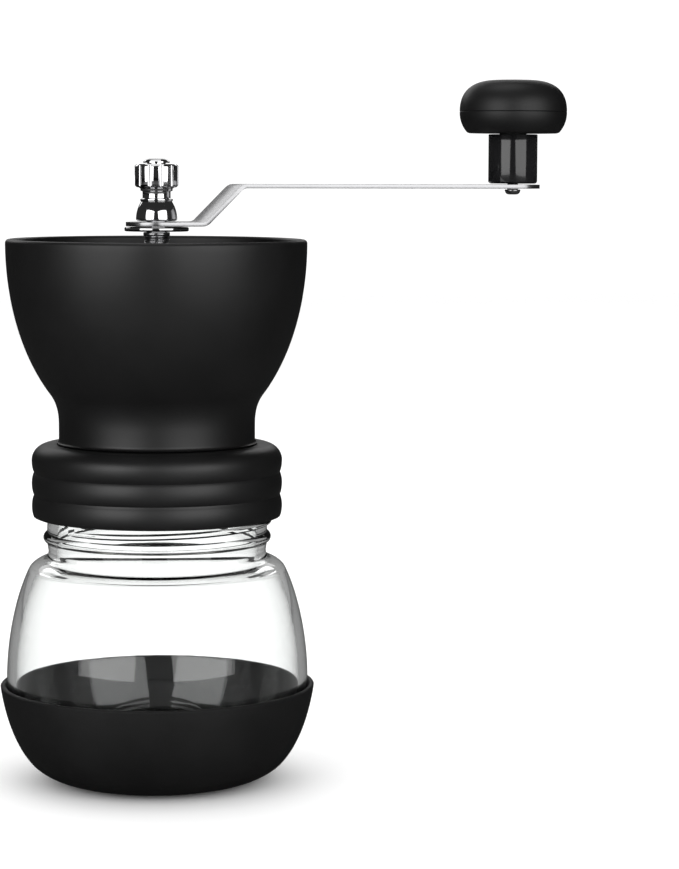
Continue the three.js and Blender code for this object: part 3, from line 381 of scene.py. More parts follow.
# %% [markdown]
# Grain is two noises. The fine one is the texture that a mould or a kiln leaves, and it only moves
# the surface up and down. The wide one drifts slowly over the piece, and roughness and colour
# follow it, which stops a plain finish from looking like paint in a computer.

# %% Grain
grain, ends_in, ends_out = effect("grain", {"Fine": 2500.0, "Wide": 60.0}, ("Height", "Drift"))
place = added(grain, "TexCoord").outputs["Object"]
grain.links.new(noise(grain, place, ends_in.outputs["Fine"]), ends_out.inputs["Height"])
drift = noise(grain, place, ends_in.outputs["Wide"], detail=4.0)
widened = maths(grain, "MULTIPLY_ADD", drift, 2.0, -0.5, clamp=True)
grain.links.new(widened, ends_out.inputs["Drift"])
print("grain group:", len(grain.nodes), "nodes")

# %% [markdown]
# Brushed metal is noise pulled out along one direction. The crank arm runs along X, so the
# coordinates are squeezed along X before the noise reads them.

# %% Brushing
brushing, ends_in, ends_out = effect("brushing", {"Lines": 900.0, "Length": 0.02}, ("Height",))
along, across, up = object_axes(brushing)
squeezed = maths(brushing, "MULTIPLY", along, ends_in.outputs["Length"])
pulled = added(brushing, "CombineXYZ", {0: squeezed, 1: across, 2: up}).outputs[0]
scratches = noise(brushing, pulled, ends_in.outputs["Lines"], detail=5.0)
brushing.links.new(scratches, ends_out.inputs["Height"])
print("brushing group:", len(brushing.nodes), "nodes")

# %% [markdown]
# A lathe leaves rings round the axis. Here the pattern reads only the distance from the axis and
# the height, so it repeats all the way round.

# %% Lathe rings
rings, ends_in, ends_out = effect("lathe_rings", {"Lines": 3000.0, "Axis X": 0.0}, ("Height",))
along, across, up = object_axes(rings)
from_axis = maths(rings, "SUBTRACT", along, ends_in.outputs["Axis X"])
squares = maths(rings, "ADD", maths(rings, "POWER", from_axis, 2.0), maths(rings, "POWER", across, 2.0))
flat = added(rings, "CombineXYZ", {0: maths(rings, "SQRT", squares), 2: up}).outputs[0]
ring_marks = noise(rings, flat, ends_in.outputs["Lines"], detail=2.0)
rings.links.new(ring_marks, ends_out.inputs["Height"])
print("lathe ring group:", len(rings.nodes), "nodes")

# %% [markdown]
# Hands polish the corners of a tool first. Pointiness finds the outward corners, a noise breaks
# the line up, and the result is a mask that lightens and smooths the finish there.

# %% Edge wear
wear, ends_in, ends_out = effect("edge_wear", {"Amount": 1.0}, ("Mask",))
place = added(wear, "TexCoord").outputs["Object"]
pointed = added(wear, "NewGeometry").outputs["Pointiness"]
edge = added(wear, "MapRange", {"Value": pointed, "From Min": 0.52, "From Max": 0.62}, clamp=True)
broken = maths(wear, "MULTIPLY", edge.outputs[0], noise(wear, place, 300.0))
wear.links.new(maths(wear, "MULTIPLY", broken, ends_in.outputs["Amount"]), ends_out.inputs["Mask"])
print("edge wear group:", len(wear.nodes), "nodes")

# %% [markdown]
# A material keeps its own Principled shader. Values that are the same all over the surface are set
# on the shader's sockets, and only what changes over the surface is linked in.

# %% A helper for materials
def finish(name, **sockets):
    """A material whose Principled shader has these constant values."""
    made = bpy.data.materials.new(name)
    made.use_nodes = True
    shader = made.node_tree.nodes["Principled BSDF"]
    for socket, value in sockets.items():
        shader.inputs[socket.replace("_", " ")].default_value = value
    return made


def with_effect(material, group, **values):
    """Places a shared effect in a material, with its own values."""
    made = added(material.node_tree, "Group", node_tree=group)
    for socket, value in values.items():
        made.inputs[socket.replace("_", " ")].default_value = value
    return made


def into_shader(material, socket, source):
    """Links a node's output into the material's own shader."""
    tree = material.node_tree
    tree.links.new(source, tree.nodes["Principled BSDF"].inputs[socket])


def bumped(material, height, depth):
    """Lets a height move the surface's normal by a depth in millimetres."""
    settings = {"Height": height, "Strength": 1.0, "Distance": depth * MM}
    into_shader(material, "Normal", added(material.node_tree, "Bump", settings).outputs[0])


def ranged(material, mask, socket, low, high):
    """Lets a mask move a grey socket between two values."""
    settings = {"Value": mask, "To Min": low, "To Max": high}
    between = added(material.node_tree, "MapRange", settings, clamp=True)
    into_shader(material, socket, between.outputs[0])


def tinted(material, mask, low, high):
    """Lets a mask move the base colour between two colours."""
    settings = {"Factor": mask, "A": (*low, 1), "B": (*high, 1)}
    mix = added(material.node_tree, "Mix", settings, data_type="RGBA")
    into_shader(material, "Base Color", mix.outputs["Result"])


def grained(material, fine, wide, depth, rough, dark, light):
    """The common recipe: grain moves the surface, the roughness and the colour."""
    effect_node = with_effect(material, grain, Fine=fine, Wide=wide)
    bumped(material, effect_node.outputs["Height"], depth)
    ranged(material, effect_node.outputs["Drift"], "Roughness", *rough)
    tinted(material, effect_node.outputs["Drift"], dark, light)
    return material


# %% [markdown]
# The collar and the hopper are satin black mouldings with a fine spark-eroded texture. The knob is
# a softer, more matt version of the same plastic. The rubber boot is duller still, and
# coarser.

# %% Black plastics and rubber
JET = (0.0026, 0.0026, 0.0028)
COAL = (0.0038, 0.0038, 0.004)
satin_black = grained(
    finish("satin_black", Specular_IOR_Level=0.75),
    fine=2200, wide=45, depth=0.012, rough=(0.40, 0.50), dark=JET, light=COAL,
)
soft_black = grained(
    finish("soft_black", Specular_IOR_Level=0.65),
    fine=2600, wide=70, depth=0.010, rough=(0.44, 0.54), dark=JET, light=COAL,
)
boot_rubber = grained(
    finish("boot_rubber", Specular_IOR_Level=0.62),
    fine=1600, wide=55, depth=0.02, rough=(0.50, 0.62), dark=JET, light=(0.0042, 0.0042, 0.0044),
)
gloss_black = grained(
    finish("gloss_black", Coat_Weight=0.6, Coat_Roughness=0.04),
    fine=900, wide=90, depth=0.002, rough=(0.10, 0.16),
    dark=(0.006, 0.006, 0.0065), light=(0.008, 0.008, 0.0085),
)
print("black finishes made")

# %% [markdown]
# Pressed glass is clear, but its surface is never quite even, so a very low bump drifts across it.
# The wall's real thickness does the rest: the rim, the bead and the thread turn dark or bright
# because light bends through them.

# %% Glass and silicone
clear_glass = finish(
    "clear_glass", Base_Color=(0.985, 0.995, 0.99, 1), Roughness=0.0, IOR=1.45, Transmission_Weight=1.0
)
waves = with_effect(clear_glass, grain, Fine=70, Wide=20)
bumped(clear_glass, waves.outputs["Height"], 0.02)
clear_silicone = grained(
    finish("clear_silicone", Transmission_Weight=0.35, IOR=1.41),
    fine=1200, wide=80, depth=0.008, rough=(0.38, 0.5), dark=(0.70, 0.70, 0.67), light=(0.78, 0.78, 0.75),
)
print("glass and silicone made")

# %% [markdown]
# The burrs are fired ceramic: off-white, hard and faintly speckled. The bushes are natural nylon,
# which lets a little light into its surface.

# %% Ceramic and nylon
burr_ceramic = grained(
    finish("burr_ceramic", Specular_IOR_Level=0.55),
    fine=1800, wide=260, depth=0.008, rough=(0.28, 0.42), dark=(0.74, 0.72, 0.66), light=(0.86, 0.85, 0.80),
)
nylon = grained(
    finish("nylon", Subsurface_Weight=0.25, Subsurface_Scale=0.002),
    fine=1500, wide=90, depth=0.006, rough=(0.34, 0.46), dark=(0.74, 0.72, 0.65), light=(0.82, 0.80, 0.74),
)
print("ceramic and nylon made")

# %% [markdown]
# Three bright metals: polished chrome on the nut and the washer under the crank, the rolled and
# brushed stainless strip of the arm, and turned steel for the shaft and the small parts. The chrome
# has slightly duller patches, because fingers touch it, and the steels have their corners polished
# brighter.

# %% Metals
chrome = finish("chrome", Base_Color=(0.86, 0.86, 0.87, 1), Metallic=1.0)
smudges = with_effect(chrome, grain, Fine=500, Wide=140)
ranged(chrome, smudges.outputs["Drift"], "Roughness", 0.035, 0.10)
bumped(chrome, smudges.outputs["Height"], 0.0015)

arm_steel = finish("arm_steel", Metallic=1.0)
strokes = with_effect(arm_steel, brushing, Lines=1400, Length=0.015)
corners = with_effect(arm_steel, wear, Amount=0.8)
ranged(arm_steel, strokes.outputs["Height"], "Roughness", 0.22, 0.36)
tinted(arm_steel, corners.outputs["Mask"], (0.47, 0.47, 0.48), (0.60, 0.60, 0.61))
bumped(arm_steel, strokes.outputs["Height"], 0.004)


def turned_steel(name, axis_x):
    """Steel with lathe rings about an upright axis."""
    made = finish(name, Metallic=1.0)
    marks = with_effect(made, rings, Lines=2600, Axis_X=axis_x * MM)
    edges = with_effect(made, wear, Amount=0.7)
    ranged(made, marks.outputs["Height"], "Roughness", 0.16, 0.34)
    tinted(made, edges.outputs["Mask"], (0.55, 0.55, 0.56), (0.80, 0.80, 0.81))
    bumped(made, marks.outputs["Height"], 0.006)
    return made


shaft_steel = turned_steel("shaft_steel", 0.0)
pin_steel = turned_steel("pin_steel", arm_reach)
print("metals made")

# %% [markdown]
# Each finished piece stands for one design node: it takes that node's body, so it moves as the
# design moves, and its material slot.

# %% Put a piece in its node's place
def placed(piece, design_node, material, smooth=32):
    """Gives a piece its finish and its place in the design."""
    chosen(piece)
    piece.data.materials.clear()
    piece.data.materials.append(material)
    bpy.ops.object.shade_smooth_by_angle(angle=radians(smooth))
    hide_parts(design_node)
    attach(piece, body_of[design_node])
    print(f"{piece.name}: {len(piece.data.polygons)} faces, rides on {body_of[design_node]}")
    return piece


# %% [markdown]
# ## The boot
#
# A cup of black rubber, thin at its rim, that turns under in one long curve to a flat foot. It
# could be a sphere cut in half, but the real curve is fuller near the table, so it is turned from
# two joined curves. The inside is the same outline moved in by the wall.

# %% Rubber boot
FINE_STEPS = 128  # faces round the widest pieces
BOOT_WALL = 1.7
BOOT_FOOT = 21.0  # radius of the flat foot
CHEEK_INSET = 9.2  # in from the rim to where the side turns under
CHEEK_HEIGHT = 5.5
boot_radius, boot_top = radius("base_boot"), top("base_boot")
cheek = (boot_radius - CHEEK_INSET, CHEEK_HEIGHT)
boot_side = [(boot_radius, boot_top - 0.5), (boot_radius - CHEEK_INSET / 6, 0.64 * boot_top)]
boot_side += [(boot_radius - CHEEK_INSET / 2, 0.36 * boot_top), cheek]
boot_under = [cheek, (cheek[0] - CHEEK_HEIGHT, 0.2), (BOOT_FOOT, 0)]
boot_outside = (bezier(boot_side, 18) + bezier(boot_under, 12)[1:])[::-1]
boot_inside = raised(inset(boot_outside, BOOT_WALL), BOOT_WALL)
foot_recess = [(0, 0.5), (13, 0.5), (13.8, 0)]
boot_lip = arc((boot_radius - BOOT_WALL / 2, boot_top - BOOT_WALL / 2), BOOT_WALL / 2, 20, 165, 6)
boot_outline = foot_recess + boot_outside[:-1] + boot_lip + boot_inside[:-1][::-1] + [(0, BOOT_WALL)]
boot = placed(turned("rubber_boot", boot_outline, steps=FINE_STEPS), "base_boot", boot_rubber)

# %% [markdown]
# ## The jar
#
# The jar follows the boot's inside, comes out of it at its widest, draws in to a rounded shoulder
# and carries a bead and a thread on its neck. It is turned as one closed wall, and the thread is
# joined on, so that light meets only real surfaces.

# %% Glass jar
JAR_WALL = 2.6
JAR_FLOOR = 3.6
NECK = 32.0  # outside radius at the foot of the thread
BEAD_HEIGHT = 1.5
THREAD_PITCH = 4.5
jar_bottom, jar_rim = span("glass_jar")
collar_bottom = bottom("collar")
neck_foot = collar_bottom - 12
bead_z = collar_bottom - 5.9
seated = raised(inset(boot_outside, BOOT_WALL + SEAT_GAP), jar_bottom)
crest = (NECK + 5.6, neck_foot - 2.9)
climb = crest[1] - seated[-1][1]
belly = [seated[-1], (seated[-1][0] + 0.3, seated[-1][1] + climb / 3)]
belly += [(seated[-1][0] - 2.4, seated[-1][1] + 0.75 * climb), crest]
shoulder = [crest, (crest[0] - 1.4, neck_foot - 0.9), (NECK + 1, neck_foot)]
jar_outside = seated + bezier(belly, 22)[1:] + bezier(shoulder, 8)[1:]
jar_inside = raised(inset(jar_outside, JAR_WALL), jar_bottom + JAR_FLOOR)
neck_bore = NECK - JAR_WALL
throat_turn = bezier([(neck_bore, neck_foot + 1.5), (neck_bore, neck_foot - 0.6), jar_inside[-1]], 6)
punt = [(0, jar_bottom + 1.2), (14, jar_bottom + 1.0), (18, jar_bottom)]
neck_root = bezier([(NECK + 1, neck_foot), (NECK + 0.1, neck_foot + 0.5), (NECK, neck_foot + 2.0)], 5)[1:]
bead = arc((NECK - 0.1, bead_z), BEAD_HEIGHT + 0.1, -72, 72, 10)
rim_round = arc((NECK - JAR_WALL / 2, jar_rim - JAR_WALL / 2), JAR_WALL / 2, 0, 180, 10)
jar_outline = punt + [p for p in jar_outside if p[0] > 18.5] + neck_root + bead + rim_round
jar_outline += throat_turn + jar_inside[:-1][::-1] + [(0, jar_bottom + JAR_FLOOR)]
jar = turned("clear_jar", jar_outline, steps=FINE_STEPS)
jar_ridge = [(31.5, -1.2), (32.7, -0.85), (33.4, -0.6), (33.7, -0.25)]
jar_ridge += [(r, -z) for r, z in jar_ridge[::-1]]
THREAD_START = 200.0  # degrees, where the jar's thread begins
jar_thread = thread(jar_ridge, THREAD_PITCH, 3, THREAD_START, collar_bottom - 2.9, steps=64)
placed(joined(jar, jar_thread), "glass_jar", clear_glass, smooth=40)

# %% [markdown]
# The gasket is a flat silicone ring between the jar's rim and the collar's ceiling.

# %% Gasket
CORE_PLAY = 1.0  # from the jar's bore to the mill core
gasket_bore = neck_bore - CORE_PLAY + 2 * SEAT_GAP
gasket_outline = tube(gasket_bore, radius("jar_gasket"), *span("jar_gasket"))
placed(rounded(turned("silicone_gasket", gasket_outline), 0.3), "jar_gasket", clear_silicone)

# %% [markdown]
# ## The collar
#
# Three soft bands give the fingers a grip. Each band is a broad crest between narrow grooves, and
# a sine raised to a small power has just that shape. Above them the shoulder is a quarter circle.

# %% Ribbed collar
BAND_DEPTH = 0.8
SHOULDER_ROUND = 4.7
COLLAR_WALL = 2.4
NECK_RADIUS, HOPPER_WALL = 28.8, 2.2  # the hopper's neck, which stands in the collar
collar_radius, collar_top = radius("collar"), top("collar")
band = (collar_top - collar_bottom - SHOULDER_ROUND - 3.5) / 2


def band_radius(height):
    """The outside radius of the banded skirt at a height."""
    share = (height - collar_bottom) % band / band
    return collar_radius - BAND_DEPTH * (1 - sin(pi * share) ** 0.55)


skirt_steps = 44
skirt_top = collar_bottom + 2.5 * band
skirt = [collar_bottom + (skirt_top - collar_bottom) * i / skirt_steps for i in range(1, skirt_steps)]
collar_inner = collar_radius - COLLAR_WALL
collar_ceiling = collar_top - 2.5
hopper_bore = NECK_RADIUS - HOPPER_WALL
collar_outline = [(collar_inner + 0.6, collar_bottom), (collar_radius - 1.4, collar_bottom)]
collar_outline += [(band_radius(z), z) for z in skirt]
corner = (collar_radius - SHOULDER_ROUND, collar_top - SHOULDER_ROUND)
collar_outline += arc(corner, SHOULDER_ROUND, 0, 90, 14)
collar_outline += [(hopper_bore, collar_top), (hopper_bore, collar_ceiling), (collar_inner, collar_ceiling)]
collar_outline += [(collar_inner, collar_bottom + 0.6), collar_outline[0]]
collar = turned("grip_collar", collar_outline, steps=FINE_STEPS)
collar_ridge = [(collar_inner + 0.2, -1.2), (33.9, -0.8), (33.2, -0.35), (33.2, 0.35), (33.9, 0.8)]
collar_ridge += [(collar_inner + 0.2, 1.2)]
thread_low = collar_bottom - 2.9 + 1.5 * THREAD_PITCH - 1.9
collar_thread = thread(collar_ridge, THREAD_PITCH, 1.5, THREAD_START + 180, thread_low, steps=64, sink=0.6)
placed(joined(collar, collar_thread), "collar", satin_black)

# %% [markdown]
# ## The hopper
#
# A straight neck flares through a soft waist into a tall bowl whose side is upright at the rim.
# The wall is thin, and its rounded rim is the bright line at the top. A small foot spreads where
# the neck meets the collar.

# %% Hopper
hopper_foot, rim_top = span("hopper")
rim_radius = radius("hopper")
neck_top = hopper_foot + 5.7
waist = (NECK_RADIUS + 2.2, collar_top + 14.3)
rim_low = (rim_radius, rim_top - 1.1)
flare = (waist[0] + 0.7 * (rim_radius - waist[0]), waist[1] + 0.27 * (rim_low[1] - waist[1]))
upright = (rim_radius, waist[1] + 0.65 * (rim_low[1] - waist[1]))
neck_bend = (NECK_RADIUS, (neck_top + waist[1]) / 2 + 1)
hopper_outside = bezier([(NECK_RADIUS, neck_top), neck_bend, waist], 10)
hopper_outside += bezier([waist, flare, upright, rim_low], 26)[1:]
hopper_inside = inset(hopper_outside, HOPPER_WALL)
foot_curve = [(NECK_RADIUS + 0.7, hopper_foot + 0.25), (NECK_RADIUS, hopper_foot + 0.4)]
foot_curve += [(NECK_RADIUS, hopper_foot + 1.4)]
spread_foot = [(hopper_bore, hopper_foot), (NECK_RADIUS + 0.5, hopper_foot)] + bezier(foot_curve, 5)
rim_middle = (rim_radius - HOPPER_WALL / 2, rim_top - HOPPER_WALL / 2)
rim_arc = arc(rim_middle, HOPPER_WALL / 2, 12, 168, 8)
hopper_outline = spread_foot + hopper_outside + rim_arc + hopper_inside[::-1] + spread_foot[:1]
placed(turned("hopper_bowl", hopper_outline, steps=FINE_STEPS), "hopper", satin_black)

# %% [markdown]
# ## The mill core
#
# One moulding holds everything that turns. Its lower ring seats the outer burr, a funnel feeds the
# beans in, and three spokes carry a tall tapered column with a bore for the shaft. Ring and column
# are turned, the spokes are beams, and the screw holes are cut last.

# %% Mill core
core_bottom = bottom("mill_core")
core_edge = neck_bore - CORE_PLAY
core_neck = hopper_bore - SEAT_GAP
burr_seat = radius("outer_burr") + SEAT_GAP
seat_top = top("outer_burr") + SEAT_GAP
throat = 20.5
funnel_low = seat_top + 1.2
funnel_top = funnel_low + 7.5
step = collar_ceiling - SEAT_GAP
housing_outline = [(burr_seat, core_bottom), (core_edge, core_bottom), (core_edge, step), (core_neck, step)]
housing_outline += [(core_neck, funnel_top), (core_neck - 0.7, funnel_top), (throat, funnel_low)]
housing_outline += [(throat, seat_top), (burr_seat, seat_top), (burr_seat, core_bottom)]
housing = turned("mill_body", housing_outline)
HUB, BUSH_WALL = 8.4, 1.1
hub_bottom = funnel_low + 1.9
column_top = top("mill_core")
shaft_radius = 3.9
column_bore = shaft_radius + RUN_GAP + BUSH_WALL + RUN_GAP
hub_top = funnel_top + 0.5
column_outline = [(column_bore, hub_bottom), (HUB, hub_bottom), (HUB, hub_top), (HUB - 0.6, hub_top + 3)]
column_outline += [(HUB - 1.2, column_top), (column_bore, column_top), (column_bore, hub_bottom)]
column = turned("column", column_outline, steps=64)
spoke_end = core_neck - 0.35
spoke_start = HUB - 1
SPOKE_WIDTH, SPOKE_HEIGHT = 4, 5.5
spoke_middle = ((spoke_start + spoke_end) / 2, 0, funnel_top - SPOKE_HEIGHT / 2)
spoke = block((spoke_end - spoke_start, SPOKE_WIDTH, SPOKE_HEIGHT), spoke_middle)
spokes = ring_of(rounded(spoke, 0.6, 3), 3, start=30)
SCREW_CIRCLE = (burr_seat + core_edge) / 2
hole_top = bottom("burr_retainer") + 11
core = joined(housing, column, spokes)
SCREW_HOLE = 1.5
pilots = ring_of(rod(SCREW_HOLE, core_bottom - 1, hole_top, y=SCREW_CIRCLE, vertices=24), 3)
placed(rounded(cut(core, pilots), 0.25), "mill_core", satin_black)

# %% [markdown]
# ## Bushes and washers
#
# Two nylon bushes guide the shaft in the column. Each is a thin barrel with one wider end that
# keeps it in its seat. Points that fall on each other are left out of the outline, because where
# the flange is the end of the barrel there is no step between them.

# %% Bushes
bush_bore = shaft_radius + RUN_GAP
bush_edge = bush_bore + BUSH_WALL


def bush(name, part, flange_low, flange_high):
    """A flanged bush: a thin barrel with one wider end."""
    low, high = span(part)
    flange = radius(part)
    outline = [(bush_bore, low), (bush_edge, low), (bush_edge, flange_low), (flange, flange_low)]
    outline += [(flange, flange_high), (bush_edge, flange_high), (bush_edge, high), (bush_bore, high)]
    points = []
    for spot in [*outline, outline[0]]:
        if not points or hypot(spot[0] - points[-1][0], spot[1] - points[-1][1]) > 0.01:
            points.append(spot)
    placed(rounded(turned(name, points, steps=64), 0.15), part, nylon)


bush("top_bush", "upper_bush", top("upper_bush") - BUSH_WALL, top("upper_bush"))
bush("bottom_bush", "lower_bush", bottom("lower_bush"), bottom("lower_bush") + BUSH_WALL)

# %% [markdown]
# Washers are stamped from sheet and tumbled, which rounds their edges a little. They differ only
# in size, so one helper reads the size from the design and a loop makes all four.

# %% Washers
def washer(name, part):
    """A flat ring the size of its design node."""
    return rounded(turned(name, tube(bush_bore, radius(part), *span(part)), steps=64), 0.12)


for name, part in (
    ("thrust_ring", "thrust_washer"),
    ("spring_seat_low", "spring_washer_lower"),
    ("spring_seat_high", "spring_washer_upper"),
    ("end_ring", "burr_end_washer"),
):
    placed(washer(name, part), part, shaft_steel)

# %% [markdown]
# ## The burrs
#
# The inner burr is a cone with eight deep crushing flutes that twist down into many fine teeth.
# The flutes are cut with one slanted tool copied round the axis, which is also how the mould for
# such a burr is made.

# %% Inner burr
cone_low, cone_high = span("inner_burr")
skirt_high = cone_low + 3
CONE_RADIUS, CONE_TOP, BURR_BORE = radius("inner_burr"), 10.6, 8.0
cone_outline = [(BURR_BORE, cone_low), (CONE_RADIUS, cone_low), (CONE_RADIUS, skirt_high)]
cone_outline += [(CONE_TOP, cone_high), (BURR_BORE, cone_high), (BURR_BORE, cone_low)]
cone = rounded(turned("burr_cone", cone_outline), 0.25)


def cone_radius(height):
    """The radius of the burr's cone at a height."""
    return CONE_RADIUS - (CONE_RADIUS - CONE_TOP) * (height - skirt_high) / (cone_high - skirt_high)


def burr_flute(depth, half_width, high, low, twist, steps=8):
    """A wedge that follows the cone down while it turns, and grows shallow."""
    tip, edge = cone_radius(high) - depth, cone_radius(high) + 1.5
    side = radians(half_width)
    corners = [(tip, 0, high), (edge * cos(side), -edge * sin(side), high)]
    corners += [(edge * cos(side), edge * sin(side), high), (tip, 0, high)]
    tool = line_of("flute", [Vector(corner) * MM for corner in corners])
    bpy.ops.mesh.remove_doubles(threshold=MERGE_DISTANCE)
    bpy.ops.mesh.edge_face_add()
    drop = Vector((0, 0, low - high)) * MM / steps
    for i in range(1, steps + 1):
        share = i / steps
        fresh = cone_radius(high + (low - high) * share) - depth * (1 - 0.9 * share)
        bpy.ops.mesh.extrude_region_move(TRANSFORM_OT_translate={"value": drop})
        bpy.ops.transform.resize(value=(fresh / tip, fresh / tip, 1), center_override=ORIGIN)
        bpy.ops.transform.rotate(value=radians(twist / steps), orient_axis="Z", center_override=ORIGIN)
        tip = fresh
    tidied()
    return tool


flutes = ring_of(burr_flute(1.6, 13, cone_high + 1, skirt_high + 1, 40), 8)
teeth = ring_of(burr_flute(0.7, 3.2, skirt_high + 6, cone_low - 0.5, 14, steps=4), 24)
carrier_high = top("burr_carrier")
slot_height = carrier_high + 1 + SEAT_GAP - cone_low
slot_middle = (BURR_BORE - 1 + (1.8 + 1) / 2, 0, cone_low - 1 + (slot_height + 1) / 2)
key_slots = ring_of(block((2.8, 3.0, slot_height + 1), slot_middle), 3)
placed(cut(cone, flutes, teeth, key_slots), "inner_burr", burr_ceramic, smooth=25)

# %% [markdown]
# The outer burr is a ring whose mouth narrows towards the cone. Leaning slots round the mouth hold
# the beans while the cone turns. The slots lean, so their cutter is turned about its own middle in
# edit mode before it is copied round.

# %% Outer burr
outer_low, outer_high = span("outer_burr")
outer_edge = radius("outer_burr")
BURR_GAP = 1.0
pinch = skirt_high + 5
pinch_radius = cone_radius(pinch)
bowl = [(CONE_RADIUS + BURR_GAP, outer_low), (outer_edge, outer_low), (outer_edge, outer_high)]
bowl += [(throat - 0.3, outer_high), (pinch_radius + BURR_GAP, pinch), (CONE_RADIUS + BURR_GAP, skirt_high)]
ring = rounded(turned("burr_ring", [*bowl, bowl[0]]), 0.25)
SLOT_LEAN, SLOT_COUNT = radians(14), 12
slot_centre = Vector((throat + 0.2, 0, outer_high - 2))
rib_cutter = block((3, 2.2, 14), slot_centre)
chosen(rib_cutter)
bpy.ops.object.mode_set(mode="EDIT")
bpy.ops.mesh.select_all(action="SELECT")
bpy.ops.transform.rotate(value=SLOT_LEAN, orient_axis="X", center_override=slot_centre * MM)
bpy.ops.object.mode_set(mode="OBJECT")
placed(cut(ring, ring_of(rib_cutter, SLOT_COUNT)), "outer_burr", burr_ceramic, smooth=25)

# %% [markdown]
# ## What holds the burrs
#
# A plastic ring, held by three screws, keeps the outer burr in its seat. It laps a little over
# the burr's edge, which is all that stops the burr from falling out.

# %% Retainer
RETAINER_LAP = 2.1
low, high = span("burr_retainer")
keeper = turned("keeper_ring", tube(outer_edge - RETAINER_LAP, core_edge, low, high))
screw_holes = ring_of(rod(SCREW_HOLE, low - 1, high + 1, y=SCREW_CIRCLE, vertices=24), 3)
placed(rounded(cut(keeper, screw_holes), 0.3), "burr_retainer", soft_black)

# %% [markdown]
# The screws are pan heads with a cross recess and a coarse thread for plastic. One screw is
# modelled at the origin, and each of the three is a copy with its own mesh, moved to its place.

# %% Screws
SCREW_HEAD, SCREW_CORE = 2.5, 0.95
screw_low, screw_high = span("retainer_screw_1")
head_top = screw_low + 1.7
dome = [(1.2, screw_low), (SCREW_HEAD, screw_low), (SCREW_HEAD, head_top - 0.5)]
head = [(0, screw_low)] + bezier(dome, 6) + [(SCREW_HEAD, head_top), (SCREW_CORE, head_top)]
head += [(SCREW_CORE, screw_high - 0.8), (0, screw_high)]
screw = turned("screw", head, steps=48)
screw_ridge = [(0.85, -0.25), (1.2, -0.04), (1.2, 0.04), (0.85, 0.25)]
screw = joined(screw, thread(screw_ridge, 0.9, 9, 0, head_top + 0.6, steps=24, sink=-0.3))
recess = [block((3.0, 0.6, 1.8), (0, 0, screw_low)), block((0.6, 3.0, 1.8), (0, 0, screw_low))]
screw = cut(screw, *recess)
for number in (1, 2, 3):
    place_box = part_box(f"retainer_screw_{number}")
    copy = copied(screw)
    copy.name = f"screw_{number}"
    chosen(copy)
    copy.location = ((place_box[0].x + place_box[1].x) / 2, (place_box[0].y + place_box[1].y) / 2, 0)
    bpy.ops.object.transform_apply(location=True, rotation=True, scale=True)
    placed(copy, f"retainer_screw_{number}", shaft_steel)
bpy.data.objects.remove(screw)

# %% [markdown]
# The carrier is a flange under the inner burr with a boss that reaches up into it. Three keys on
# the boss turn the burr, and two flats in the bore take the drive from the shaft. A shape with two
# flats is a cylinder crossed with a box, so one helper serves the shaft and every hole on it.

# %% Burr carrier
def flatted(size, across, low, high):
    """An upright cylinder with two flats."""
    made = rod(size, low, high, vertices=64)
    keep = block((4 * size, across, high - low + 2), (0, 0, (low + high) / 2))
    return combined(made, [keep], "INTERSECT")


carrier_low = bottom("burr_carrier")
flange_high = carrier_low + 1.8
BOSS = BURR_BORE - SEAT_GAP
flange_radius = radius("burr_carrier")
carrier_outline = [(0, carrier_low), (flange_radius, carrier_low), (flange_radius, flange_high)]
carrier_outline += [(BOSS, flange_high), (BOSS, carrier_high), (0, carrier_high)]
carrier = rounded(turned("carrier_hub", carrier_outline), 0.3)
key_middle = ((BOSS - 1 + BOSS + 1.5) / 2, 0, (flange_high - 0.5 + carrier_high - 1) / 2)
key = block((2.5, 2.4, carrier_high - 1 - flange_high + 0.5), key_middle)
carrier = joined(carrier, ring_of(rounded(key, 0.25), 3))
carrier = cut(carrier, flatted(bush_bore, 6.4, carrier_low - 1, carrier_high + 1))
placed(carrier, "burr_carrier", soft_black)

# %% [markdown]
# The spring is a wire circle swept by the Screw modifier. On the grinder it shortens when the grind
# is set finer, with its top staying where it is, but nothing here squashes it.

# %% Spring
WIRE = 0.65
SPRING_TURNS = 3.5
spring_low, spring_high = span("burr_spring")
coil = radius("burr_spring") - WIRE
wire_circle = arc((coil, 0), WIRE, 0, 330, 11)
spring_pitch = (spring_high - spring_low - 2 * WIRE) / SPRING_TURNS
spring = thread(wire_circle, spring_pitch, SPRING_TURNS, 0, spring_low + WIRE, steps=48, sink=0)
spring.name = "open_coil"
placed(spring, "burr_spring", shaft_steel, smooth=60)
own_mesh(spring)

# %% [markdown]
# The shaft carries the burr on two flats at its foot, runs in the two bushes, and ends in two
# threads: a wide one for the adjusting nut and a narrow one for the thumb nut. Between them are
# the flats that the crank sits on. The clip is a ring with a mouth.

# %% Shaft and clip
shaft_low, shaft_high = span("shaft")
shoulder_z = bottom("drive_washer") - SEAT_GAP
end_radius = 2.9
WIDE_PITCH, END_PITCH = 1.25, 1.0
wide_thread = (top("thrust_washer") - 1.5, shoulder_z - 0.9)
shaft_outline = [(0, shaft_low), (shaft_radius, shaft_low), (shaft_radius, wide_thread[0])]
shaft_outline += [(shaft_radius - 0.55, wide_thread[0] + 0.5), (shaft_radius - 0.55, wide_thread[1] - 0.5)]
shaft_outline += [(shaft_radius, wide_thread[1]), (shaft_radius, shoulder_z), (end_radius, shoulder_z)]
shaft_outline += [(end_radius, shoulder_z + 3.3), (end_radius - 0.45, shoulder_z + 3.7)]
shaft_outline += [(end_radius - 0.45, shaft_high - 0.5), (end_radius - 0.9, shaft_high), (0, shaft_high)]
shaft = rounded(turned("spindle_shaft", shaft_outline, steps=64), 0.2)
wide_ridge = [(3.2, -0.5), (3.85, -0.08), (3.85, 0.08), (3.2, 0.5)]
wide_turns = (wide_thread[1] - wide_thread[0] - 2) / WIDE_PITCH
